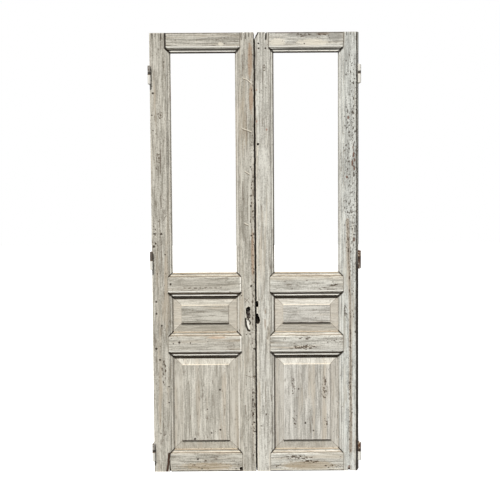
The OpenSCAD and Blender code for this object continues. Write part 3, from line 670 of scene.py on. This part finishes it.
crack_points = [(0.482, 1.33), (0.487, 1.15), (0.494, 0.95), (0.498, 0.746), (0.497, 0.5), (0.499, 0.3),
                (0.498, 0.104)]
coat = start_stile("right", HINGE_END, BLUISH_WASH)
lay_spots(coat, [(0.514, 1.668, 0.006, 0.018), (0.507, 1.625, 0.006, 0.02), (0.518, 1.598, 0.005, 0.016),
                 (0.511, 1.705, 0.004, 0.012), (0.52, 1.64, 0.004, 0.012), (0.479, 1.552, 0.008, 0.01),
                 (0.486, 1.86, 0.006, 0.012), (0.516, 1.226, 0.006, 0.016), (0.484, 1.232, 0.005, 0.02)],
          seen(106, 70, 52), 0.85)
lay_lines(coat, [(0.011, *crack_points)], seen(170, 146, 120), 0.45)
lay_lines(coat, [(0.0054, *crack_points)], seen(76, 56, 42), 0.85)
flake_more(coat, [(0.508, 2.02, 0.042, 0.24, 0.28), (0.505, 1.75, 0.05, 0.42, 0.32),
                  (0.505, 1.35, 0.05, 0.3, 0.32),
                  (0.472, 0.84, 0.012, 0.07, 0.42), (0.496, 0.45, 0.014, 0.4, 0.34),
                  (0.52, 1.0, 0.026, 0.35, 0.24)])
EDGE_FROM, EDGE_WIDER, EDGE_SOFT = 0.5262, -0.002, 0.002
STRIP_FROM, STRIP_FULL = 0.5315, 0.5335
UPPER_ABOVE, LOWER_BELOW = 1.16, 1.06
EDGE_SHALLOW, EDGE_DEEP = 0.005, 0.01
# A dark band painted down the worn outer edge as its shade, wider below; above, the outermost strip is
# paler.
tree = coat.tree
edge_shift = vector_figure(tree, "SCALE", coat.stray, scale=0.8)
edge_shift = vector_figure(tree, "ADD", coat.board, edge_shift)
edge_x = along_axis(tree, edge_shift, "X")
lower_half = ramp(tree, along_axis(tree, edge_shift, "Z"), UPPER_ABOVE, LOWER_BELOW)
edge_from = figure(tree, "MULTIPLY_ADD", lower_half, EDGE_WIDER, EDGE_FROM)
edge_band = ramp(tree, edge_x, edge_from, figure(tree, "ADD", edge_from, EDGE_SOFT))
outer_strip = ramp(tree, edge_x, STRIP_FROM, STRIP_FULL)
near_face = ramp(tree, coat.depth, face_y + EDGE_DEEP, face_y + EDGE_SHALLOW)
edge_band = times(tree, edge_band, near_face)
paler = times(tree, outer_strip, figure(tree, "SUBTRACT", 1.0, lower_half))
paler = times(tree, paler, near_face)
lay(coat, edge_band, seen(36, 29, 24), 0.95)
lay(coat, paler, seen(206, 202, 192), 0.7)
lay_lines(coat, [(0.0036, (0.478, 2.3), (0.479, 2.284)), (0.0034, (0.5, 2.3), (0.499, 2.286)),
                 (0.0042, (0.53, 2.3), (0.528, 2.258))], SPLIT_AND_SHADE_DARK, 0.65)
lay_broken(coat, [(0.4895, 0.006, 0.012, 0.022)], seen(84, 38, 22))
lay_spots(coat, [(0.489, 0.014, 0.009, 0.018)], seen(98, 46, 27), 0.9)
stile_finish["right_hinge_stile"] = end_coat(coat, BOARD_FLAKING, SPECK_GREY, 1.15, STILE_SHADE)

coat = start_stile("right", MEETING_END, RIGHT_WASH)
lay_knots(coat, [(0.051, 2.118, 0.012, 0.024)], 0.8)
lay_spots(coat, [(0.0105, 2.005, 0.004, 0.006), (0.0118, 1.843, 0.004, 0.01), (0.062, 1.8, 0.005, 0.008)],
          seen(158, 104, 84), 0.7)
lay_spots(coat, [(0.049, 0.785, 0.006, 0.035), (0.05, 0.85, 0.005, 0.02)], seen(150, 128, 108), 0.6)
lay_lines(coat, [(0.0035, (0.0165, 1.716), (0.0135, 1.668))], CREAM, 0.9)
lay_lines(coat, [(0.0022, (0.041, 1.95), (0.04, 1.82)), (0.0022, (0.03, 1.3), (0.032, 1.18)),
                 (0.0024, (0.048, 0.48), (0.05, 0.33))], seen(126, 114, 100), 0.6)
lay_broken(coat, [(0.0165, 1.726, 0.014, 0.012), (0.061, 2.285, 0.009, 0.04), (0.008, 0.889, 0.018, 0.03),
                  (0.012, 0.812, 0.024, 0.044)], BLACK_GAP_AND_SHADE)
lay_lines(coat, [(0.0036, (0.048, 2.3), (0.047, 2.29)), (0.0034, (0.03, 2.3), (0.031, 2.288))],
          SPLIT_AND_SHADE_DARK, 0.65)
# The split and a chip at the top end, painted black inside as their shade.
lay_lines(coat, [(0.0056, (0.003, 2.27), (0.02, 2.298)), (0.0066, (0.062, 2.3), (0.06, 2.266))],
          BLACK_GAP_AND_SHADE, 0.92)
lay_dots(coat, [(0.022, 2.243, 0.005), (0.023, 2.218, 0.005), (0.059, 2.218, 0.005)])
lay_lines(coat, [(0.0036, (0.0095, 1.65), (0.0095, -0.02))], CREAM, 0.6, straight=True)
lay_lines(coat, seam_line, BLACK_GAP_AND_SHADE, 0.97)
flake_more(coat, [(0.04, 0.33, 0.03, 0.12, 0.15)])
stile_finish["right_meeting_stile"] = end_coat(coat, 0.2, shade_strength=STILE_SHADE)

STILE_SLICES = ((Z_AXIS, SLICE_ALONG), (X_AXIS, SLICE_ACROSS))
SEAM_FILL_MIDDLE = (-0.0003, 0.0245, 1.14)
SEAM_FILL_SIZE = (0.0011, 0.003, 2.26)


def fill_seam(stile):
    """Closes the fine seam between the leaves with a strip deep inside it, so no light comes through."""
    work_on(stile)
    bpy.ops.mesh.select_all(action="DESELECT")
    bpy.ops.mesh.primitive_cube_add(size=1.0, location=SEAM_FILL_MIDDLE, scale=SEAM_FILL_SIZE)
    bpy.ops.object.mode_set(mode="OBJECT")


def make_board(name, finish, slices, grain_axis, turn=SOFT_TURN):
    """Makes a board from its solid: eased, sliced, worn along its grain and limewashed."""
    side = name.split("_")[0]
    board = welded_copy(name, "_timber", FLAT)
    ease_arrises(board, ARRIS_WIDTH, ARRIS_LENGTH)
    for axis, spacing in slices:
        slice_timber(board, axis, spacing)
    weather(board, grain_axis, PLANE_MARKS)
    if name == "left_meeting_stile":
        fill_seam(board)
    board.data.materials.append(finish)
    set_in_place(board, name, side + "_leaf", turn)


for name in STILES:
    make_board(name, stile_finish[name], STILE_SLICES, Z_AXIS)


# Rails: the level timbers of each leaf, tenoned into the stiles with mitred mouldings.
# Their grain runs across the leaf, and dirt has settled in the joints at their shoulders.
RAIL_SLICES = ((X_AXIS, SLICE_ALONG), (Z_AXIS, SLICE_ACROSS))
RAIL_BROAD = 0.1
RAIL_SHADE = seen(70, 49, 22)
LEDGE_DOWN, PALE_OFF = 0.0045, 0.0035
CREASE_ABOVE, CREASE_BELOW = 0.005, 0.007
FOOT_PALE = 0.0085
BRIGHT_IN = 0.0055
washes = {"left": LEFT_WASH, "right": RIGHT_WASH}
speck_row = [(-0.372 + 0.027 * step, 0.977, 0.008, 0.004) for step in range(8)]
rail_spots = {
    "left_top_rail": [(CREAM, 0.8, [(-0.172, 2.241, 0.018, 0.012)])],
    "left_lower_lock_rail": [(seen(218, 213, 202), 0.2, [(-0.27, 0.68, 0.22, 0.05)]),
                             (seen(198, 168, 140), 0.6, [(-0.206, 0.714, 0.06, 0.008)])],
    "left_bottom_rail": [(seen(178, 158, 128), 0.5, [(-0.26, 0.028, 0.17, 0.024)])],
    "right_top_rail": [(seen(150, 147, 140), 0.65, [(0.26, 2.286, 0.12, 0.018), (0.42, 2.276, 0.05, 0.03)]),
                       (seen(108, 90, 74), 0.7, [(0.356, 2.29, 0.04, 0.008), (0.16, 2.297, 0.08, 0.005)]),
                       (CREAM, 0.7, [(0.3, 2.246, 0.1, 0.022), (0.12, 2.25, 0.05, 0.024)])],
    "left_upper_lock_rail": [(seen(158, 151, 138), 0.3, [(-0.27, 0.993, 0.22, 0.05)]),
                             (seen(108, 96, 82), 0.7, speck_row)],
    "right_bottom_rail": [(seen(164, 146, 118), 0.6, [(0.28, 0.03, 0.18, 0.03)])],
}
rail_dots = {
    "left_upper_lock_rail": [(-0.447, 0.997, 0.006)],
    "left_lower_lock_rail": [(-0.404, 0.689, 0.006), (-0.344, 0.687, 0.004), (-0.435, 0.683, 0.004),
                             (-0.211, 0.741, 0.005)],
    "left_bottom_rail": [(-0.312, 0.066, 0.006), (-0.29, 0.014, 0.005), (-0.11, 0.01, 0.006)],
}
rail_flakes = {
    "left_upper_lock_rail": [(-0.3, 0.974, 0.09, 0.008, 0.35)],
    "left_bottom_rail": [(-0.25, 0.04, 0.2, 0.036, 0.14)],
    "right_top_rail": [(0.26, 2.285, 0.12, 0.012, 0.45)],
    "right_upper_lock_rail": [(0.41, 0.99, 0.032, 0.009, 0.55), (0.356, 0.97, 0.045, 0.007, 0.45)],
    "right_lower_lock_rail": [(0.26, 0.708, 0.055, 0.009, 0.55), (0.255, 0.66, 0.08, 0.016, 0.6),
                              (0.4, 0.69, 0.05, 0.014, 0.5), (0.147, 0.704, 0.014, 0.008, 0.5),
                              (0.125, 0.652, 0.014, 0.008, 0.5)],
    "right_bottom_rail": [(0.215, 0.073, 0.095, 0.013, 0.55), (0.28, 0.05, 0.06, 0.011, 0.5),
                          (0.115, 0.029, 0.035, 0.009, 0.45), (0.4, 0.022, 0.06, 0.013, 0.45)],
}
open_joints = {
    "left_top_rail": [(0.0046, (-0.46, 2.31), (-0.46, 2.222), (-0.435, 2.197))],
    "left_bottom_rail": [(0.0065, (-0.46, 0.096), (-0.464, 0.06), (-0.466, 0.024), (-0.47, -0.01))],
}


def level_line(side, width, z):
    """A level line across the leaf, from shoulder to shoulder."""
    hinge_x, meeting_x = SHOULDERS[side]
    return (width, (hinge_x, z), (meeting_x, z))


for side in ("left", "right"):
    for rail_name in RAILS:
        name = side + "_" + rail_name
        low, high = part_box(name)
        flat_low, flat_high = low.z + MOULDING, high.z - MOULDING
        coat = start_coat(name.replace("_", " ") + " limewash", LEVEL_GRAIN, *washes[side], RAIL_BROAD)
        for colour, strength, places in rail_spots.get(name, []):
            lay_spots(coat, places, colour, strength)
        if name == "left_lower_lock_rail":
            lay_knots(coat, [(-0.133, 0.669, 0.03, 0.026)], 0.35)
        if name in rail_dots:
            lay_dots(coat, rail_dots[name])
        if rail_name == "top_rail":
            lay_lines(coat, [level_line(side, 0.0062, high.z)], SPLIT_AND_SHADE_DARK, 0.8)
        else:
            lay_lines(coat, [level_line(side, 0.006, high.z - LEDGE_DOWN)], seen(122, 107, 87), 0.8)
            lay_lines(coat, [level_line(side, 0.0036, flat_high + CREASE_ABOVE)], seen(104, 88, 69), 0.75)
        if rail_name == "bottom_rail":
            lay_lines(coat, [level_line(side, 0.004, FOOT_PALE)], CREAM, 0.7)
            lay_lines(coat, [level_line(side, 0.007, 0.0)], seen(50, 40, 31), 0.9)
        else:
            # Under the rail: painted shade on the crease and foot, painted highlights on the lower arris and
            # fillet.
            crease, foot = (0.0036, flat_low - CREASE_BELOW), (0.0078, low.z + 0.0005)
            dark_runs, dark = ([foot], 0.5) if rail_name == "top_rail" else ([crease, foot], 0.9)
            pale_runs = [(0.0058, flat_low + PALE_OFF), (0.0046, flat_low - FILLET - PALE_OFF)]
            lay_lines(coat, [level_line(side, *run) for run in dark_runs], RAIL_SHADE, dark, straight=True)
            pale_lines = [level_line(side, *run) for run in pale_runs]
            coat.clean = lay_lines(coat, pale_lines, PAINTED_HIGHLIGHT, 0.95, straight=True)
        joints = [shoulder_joint(side, rail_name, end) for end in (HINGE_END, MEETING_END)]
        lay_lines(coat, joints, JOINT_DIRT, 0.5, straight=True)
        if side == "left" and "lock" in rail_name:
            # A painted highlight on the rail's end, by the shoulder at the meeting stile.
            bright_x = inwards(side, MEETING_END, BRIGHT_IN)
            bright_end = (0.0046, (bright_x, flat_low), (bright_x, flat_high))
            lay_lines(coat, [bright_end], PAINTED_HIGHLIGHT, 0.8, straight=True)
        slants = mitres(side, rail_name, HINGE_END) + mitres(side, rail_name, MEETING_END)
        lay_lines(coat, slants, BLACK_GAP_AND_SHADE, 0.92, straight=True)
        if name in open_joints:
            lay_lines(coat, open_joints[name], BLACK_GAP_AND_SHADE, 0.95, straight=True)
        if name == "left_bottom_rail":
            lay_broken(coat, [(-0.462, 0.04, 0.016, 0.075)], seen(58, 34, 22))
            lay_broken(coat, [(-0.086, 0.014, 0.018, 0.018)], BLACK_GAP_AND_SHADE)
        if name in rail_flakes:
            flake_more(coat, rail_flakes[name])
        make_board(name, end_coat(coat, BOARD_FLAKING), RAIL_SLICES, X_AXIS)


# Raised panels: wide thin boards with a sloped border, held loose in the grooves of stiles and rails.
# The field stands proud of the border by a small step. The brush went up the large ones, across the small.
PANELS = ["small_panel", "large_panel"]
PANEL_SLICES = ((X_AXIS, SLICE_ALONG), (Z_AXIS, SLICE_ALONG))
PANEL_FLAKING = 0.16
PANEL_BROAD = 0.3
PANEL_TURN = math.radians(5.0)
FIELD_IN = 0.07
BORDER = 0.044
SLOPE_FROM, SLOPE_FULL = 0.06, 0.1
field_heights = {"small_panel": (0.79, 0.884), "large_panel": (0.165, 0.569)}
panel_washes = {"left_small_panel": (seen(206, 202, 191), seen(146, 141, 130), seen(186, 174, 156)),
                "left_large_panel": (seen(221, 217, 206), seen(162, 157, 146), seen(194, 182, 165)),
                "right_small_panel": (seen(216, 213, 205), seen(154, 150, 142), seen(192, 181, 165)),
                "right_large_panel": (seen(223, 220, 212), seen(162, 158, 150), seen(198, 188, 172))}
panel_grain = {"small_panel": ((0.07, 1.0, 1.0), X_AXIS), "large_panel": ((1.0, 1.0, 0.06), Z_AXIS)}
panel_dots = {
    "left_large_panel": [(-0.192, 0.436, 0.006), (-0.191, 0.222, 0.006), (-0.238, 0.206, 0.005),
                         (-0.326, 0.173, 0.007), (-0.259, 0.332, 0.004)],
    "right_large_panel": [(0.224, 0.438, 0.005), (0.259, 0.255, 0.006), (0.302, 0.214, 0.005)],
}
panel_flakes = {
    "right_small_panel": [(0.335, 0.815, 0.035, 0.007, 0.4)],
    "right_large_panel": [(0.196, 0.45, 0.012, 0.06, 0.55), (0.204, 0.28, 0.014, 0.065, 0.5),
                          (0.363, 0.445, 0.018, 0.08, 0.55), (0.369, 0.275, 0.012, 0.065, 0.45),
                          (0.429, 0.32, 0.008, 0.11, 0.55)],
}
for side in ("left", "right"):
    for panel_name in PANELS:
        name = side + "_" + panel_name
        grain, axis = panel_grain[panel_name]
        field_low, field_high = field_heights[panel_name]
        hinge_x, meeting_x = inwards(side, HINGE_END, FIELD_IN), inwards(side, MEETING_END, FIELD_IN)
        coat = start_coat(name.replace("_", " ") + " limewash", grain, *panel_washes[name], PANEL_BROAD)
        if name in panel_dots:
            lay_dots(coat, panel_dots[name])
        tree = coat.tree
        # Painted light and shade: each slope of the border is tinted lighter or darker by the way it faces.
        facing = add_node(tree, "NewGeometry").outputs["True Normal"]
        facing_up = along_axis(tree, facing, "Z")
        facing_right = along_axis(tree, facing, "X")
        if panel_name == "large_panel":
            lay(coat, ramp(tree, facing_right, -SLOPE_FROM, -SLOPE_FULL), seen(168, 162, 150), 0.36)
            lay(coat, ramp(tree, facing_right, SLOPE_FROM, SLOPE_FULL), seen(184, 176, 162), 0.3)
        else:
            to_a_side = figure(tree, "ABSOLUTE", facing_right)
            lay(coat, ramp(tree, to_a_side, SLOPE_FROM, SLOPE_FULL), seen(212, 204, 190), 0.6)
        lay(coat, ramp(tree, facing_up, SLOPE_FROM, SLOPE_FULL), seen(228, 223, 210), 0.3)
        lay(coat, ramp(tree, facing_up, -SLOPE_FROM, -SLOPE_FULL), seen(208, 200, 184), 0.45)
        # Painted shade: thin dark lines at the field's sides, and a darker one under its bottom step.
        field_sides = [(0.0016, (x, field_low), (x, field_high)) for x in (hinge_x, meeting_x)]
        lay_lines(coat, field_sides, seen(104, 92, 78), 0.2, straight=True)
        step_z = field_low - 0.001
        step = (0.0042, (hinge_x, step_z), (meeting_x, step_z))
        lay_lines(coat, [step], seen(70, 58, 46), 0.8, straight=True)
        heights = ((field_low - BORDER, field_low), (field_high + BORDER, field_high))
        hinge_out, meeting_out = inwards(side, HINGE_END, MOULDING), inwards(side, MEETING_END, MOULDING)
        # Dark lines painted along the border's corner ridges, as the shade where its slopes meet.
        bevels = [(0.002, (outer_x, outer_z), (inner_x, inner_z)) for outer_z, inner_z in heights
                  for outer_x, inner_x in ((hinge_out, hinge_x), (meeting_out, meeting_x))]
        lay_lines(coat, bevels, seen(120, 106, 90), 0.5, straight=True)
        shade_z = field_high + BORDER - 0.003
        shade = (0.012, (hinge_out, shade_z), (meeting_out, shade_z))
        lay_lines(coat, [shade], seen(46, 33, 15), 0.95, straight=True)
        if name in panel_flakes:
            flake_more(coat, panel_flakes[name])
        make_board(name, end_coat(coat, PANEL_FLAKING), PANEL_SLICES, axis, PANEL_TURN)


# Lift-off hinges: a leaf half and a jamb half of cast iron, a turned steel pin and a brass washer.
# They are let into the hinge stiles and screwed there, and painters have gone over some of them.
HINGE_ARRIS = 0.0005
HINGE_ARRIS_LENGTH = 0.003
ROUND = math.radians(0.2)

rusted, given, made = new_group("rusted", [("Position", "Vector"), ("Metal", "Color"), ("Rust", "Color"),
                                           ("Share", "Float")],
                                [("Colour", "Color"), ("Mask", "Float"), ("Height", "Float")])
cloud = noise_at(rusted, given["Position"], 90.0, 5.0, 0.65)
grain = noise_at(rusted, given["Position"], 900.0, 3.0, 0.6)
edge = figure(rusted, "SUBTRACT", 1.0, given["Share"])
speckled = figure(rusted, "MULTIPLY_ADD", grain, 0.25, cloud)
mask = ramp(rusted, speckled, edge, figure(rusted, "ADD", edge, 0.15))
dark = blend(rusted, ramp(rusted, grain, 0.35, 0.65), seen(52, 38, 30), given["Rust"])
feed(rusted, made["Colour"], blend(rusted, mask, given["Metal"], dark))
feed(rusted, made["Mask"], mask)
feed(rusted, made["Height"], figure(rusted, "MULTIPLY_ADD", grain, 0.6, mask))

HINGE_MIDDLES = (2.084, 1.122, 0.108)
BAND_UP, BAND_REACH = 0.006, 0.01
METAL_CORNER = 0.006


def metal_finish(name, metal, rust, share, roughness, metallic, black_above=()):
    """Old metal: bright where it is rubbed, dull and rough where rust or paint has taken it.

    A black band is painted just above each of the heights in black_above: rust, and painted shade.
    """
    material, tree = new_material(name)
    place = add_node(tree, "TexCoord").outputs["Object"]
    old = place_group(tree, rusted, Position=place, Metal=metal, Rust=rust, Share=share)
    # Painted shade: the colour goes black in corners and hollows.
    corner = add_node(tree, "AmbientOcclusion", {"samples": 8}, Distance=METAL_CORNER).outputs["AO"]
    colour = blend(tree, times(tree, ramp(tree, corner, 0.6, 0.1), 0.85), old["Colour"], BLACK_GAP_AND_SHADE)
    height = along_axis(tree, place, "Z")
    black_band = 0.0
    for foot in black_above:
        apart = figure(tree, "ABSOLUTE", figure(tree, "SUBTRACT", height, foot + BAND_UP))
        black_band = figure(tree, "MAXIMUM", black_band, ramp(tree, apart, BAND_REACH, BAND_UP))
    colour = blend(tree, times(tree, black_band, 0.92), colour, BLACK_GAP_AND_SHADE)
    bare = figure(tree, "SUBTRACT", 1.0, old["Mask"])
    bump = add_node(tree, "Bump", Strength=0.5, Distance=0.0004, Height=old["Height"])
    rough = figure(tree, "MULTIPLY_ADD", old["Mask"], 0.85 - roughness, roughness)
    surface = add_node(tree, "BsdfPrincipled", Base_Color=colour, Roughness=rough,
                       Metallic=times(tree, bare, metallic), Normal=bump.outputs["Normal"])
    add_node(tree, "OutputMaterial", Surface=surface.outputs["BSDF"])
    return material


WHITE_PAINT = seen(222, 219, 211)
grey_iron = metal_finish("grey iron", seen(158, 154, 147), seen(92, 76, 62), 0.36, 0.65, 0.1, HINGE_MIDDLES)
dark_iron = metal_finish("dark iron", seen(92, 84, 76), seen(66, 50, 40), 0.4, 0.65, 0.1)
white_iron = metal_finish("painted iron", WHITE_PAINT, seen(150, 128, 106), 0.24, 0.7, 0.0)
worn_iron = metal_finish("worn painted iron", WHITE_PAINT, seen(120, 96, 74), 0.34, 0.7, 0.0, HINGE_MIDDLES)
cream_iron = metal_finish("cream painted iron", seen(206, 196, 176), seen(98, 64, 40), 0.52, 0.7, 0.0,
                          HINGE_MIDDLES)
brown_iron = metal_finish("brown iron", seen(150, 144, 134), seen(74, 48, 34), 0.5, 0.65, 0.1)
pin_steel = metal_finish("greased steel", seen(92, 86, 80), seen(58, 46, 38), 0.45, 0.5, 0.4)
tarnished_brass = metal_finish("tarnished brass", seen(132, 100, 58), seen(84, 60, 38), 0.45, 0.5, 0.4)
rusty_iron = metal_finish("rusty iron", seen(96, 74, 60), seen(112, 70, 46), 0.65, 0.65, 0.2)
leaf_half = {"left_top": grey_iron, "left_middle": dark_iron, "left_bottom": grey_iron,
             "right_top": worn_iron, "right_middle": cream_iron, "right_bottom": cream_iron}


def metal_piece(node_name, finish, body):
    """Makes a metal piece from its solid, with eased edges and its finish."""
    piece = welded_copy(node_name, "_metal", ROUND)
    ease_arrises(piece, HINGE_ARRIS, HINGE_ARRIS_LENGTH)
    piece.data.materials.append(finish)
    set_in_place(piece, node_name, body)


for place in leaf_half:
    side = place.split("_")[0]
    metal_piece(place + "_leaf_hinge", leaf_half[place], side + "_leaf")
    jamb_half = brown_iron if place == "right_middle" else white_iron
    metal_piece(place + "_jamb_hinge", jamb_half, "jambs")
    metal_piece(place + "_hinge_pin", pin_steel, "jambs")
    metal_piece(place + "_hinge_washer", tarnished_brass, "jambs")
for side in ("left", "right"):
    metal_piece(side + "_hinge_screws", rusty_iron, side + "_leaf")


# Mortise lock: a pressed steel case with its cover, let into the left meeting stile behind a forend.
# Its bolt slides towards the other leaf and a brass tumbler holds it. The wood in front is broken away.
lock_steel = metal_finish("dull steel", seen(116, 113, 108), seen(46, 38, 32), 0.5, 0.6, 0.15)
for name in ("lock_case", "lock_cover", "lock_forend"):
    metal_piece(name, lock_steel, "left_leaf")
metal_piece("dead_bolt", lock_steel, "dead_bolt")
metal_piece("lock_tumbler", tarnished_brass, "left_leaf")
metal_piece("forend_screws", rusty_iron, "left_leaf")


# Nails: four cut nails driven into the top of the right leaf, where its joint was once made fast.
# Their heads lie flush with the face and have rusted.
nail_iron = metal_finish("dark nail iron", seen(56, 47, 41), seen(44, 34, 28), 0.6, 0.7, 0.1)
metal_piece("right_nails", nail_iron, "right_leaf")


# Floor, light and camera: a white floor and backdrop, a high soft sun from the upper left,
# a weaker light from behind for the back, and a long lens above the lock, looking very slightly down.
bpy.ops.object.select_all(action="DESELECT")
bpy.ops.mesh.primitive_plane_add(size=60.0, location=(0.0, 0.0, 0.0))
floor = bpy.context.object
floor.name = "floor"


def white_to_the_eye(tree, elsewhere, shown):
    """One shader for light on its way elsewhere, another for what the camera, a mirror or a pane shows."""
    path = add_node(tree, "LightPath").outputs
    share = figure(tree, "ADD", path["Is Camera Ray"], path["Is Glossy Ray"], clamp=True)
    share = figure(tree, "ADD", share, path["Is Transmission Ray"], clamp=True)
    choice = add_node(tree, "MixShader", Fac=share)
    feed(tree, choice.inputs[1], elsewhere)
    feed(tree, choice.inputs[2], shown)
    return choice.outputs["Shader"]


WHITE = (1.0, 1.0, 1.0, 1.0)
floor_paint, tree = new_material("white floor")
dim = add_node(tree, "BsdfDiffuse", Color=(0.12, 0.12, 0.115, 1.0)).outputs["BSDF"]
pale = add_node(tree, "BsdfDiffuse", Color=(0.4, 0.4, 0.4, 1.0)).outputs["BSDF"]
glow = add_node(tree, "Emission", Color=WHITE, Strength=0.82).outputs["Emission"]
both = add_node(tree, "AddShader")
feed(tree, both.inputs[0], pale)
feed(tree, both.inputs[1], glow)
floor_light = white_to_the_eye(tree, dim, both.outputs["Shader"])
add_node(tree, "OutputMaterial", Surface=floor_light)
floor.data.materials.append(floor_paint)

world = bpy.data.worlds.new("white studio")
bpy.context.scene.world = world
world.use_nodes = True
tree = world.node_tree
tree.nodes.clear()
sky = add_node(tree, "Background", Color=(0.92, 0.96, 1.0, 1.0), Strength=0.34)
white = add_node(tree, "Background", Color=WHITE, Strength=1.0)
sky_light = white_to_the_eye(tree, sky.outputs["Background"], white.outputs["Background"])
add_node(tree, "OutputWorld", Surface=sky_light)


def add_sun(name, energy, spread, towards):
    """A sun lamp, with its spread in degrees and the way that its light goes."""
    lamp = bpy.data.lights.new(name, "SUN")
    lamp.energy = energy
    lamp.angle = math.radians(spread)
    lamp.color = (1.0, 0.98, 0.95)
    sun = add_object(name, lamp)
    sun.rotation_mode = "QUATERNION"
    sun.rotation_quaternion = Vector(towards).to_track_quat("-Z", "Y")


add_sun("high sun", energy=5.08, spread=6.0, towards=(0.17, 0.48, -0.86))
add_sun("light from behind", energy=1.7, spread=15.0, towards=(-0.4, -0.62, -0.68))

CAMERA_BACK = 3.993
CAMERA_HEIGHT = 1.36
CAMERA_ASIDE = -0.027
CAMERA_DOWN = 2.66
CAMERA_ROLL = 0.38
camera_data = bpy.data.cameras.new("camera")
camera_data.lens = 55.0
camera_data.sensor_width = 36.0
camera = add_object("camera", camera_data)
camera.location = (CAMERA_ASIDE, face_y - CAMERA_BACK, CAMERA_HEIGHT)
camera.rotation_euler = (math.radians(90.0 - CAMERA_DOWN), math.radians(CAMERA_ROLL), 0.0)
bpy.context.scene.camera = camera
bpy.context.scene.view_settings.view_transform = "Standard"
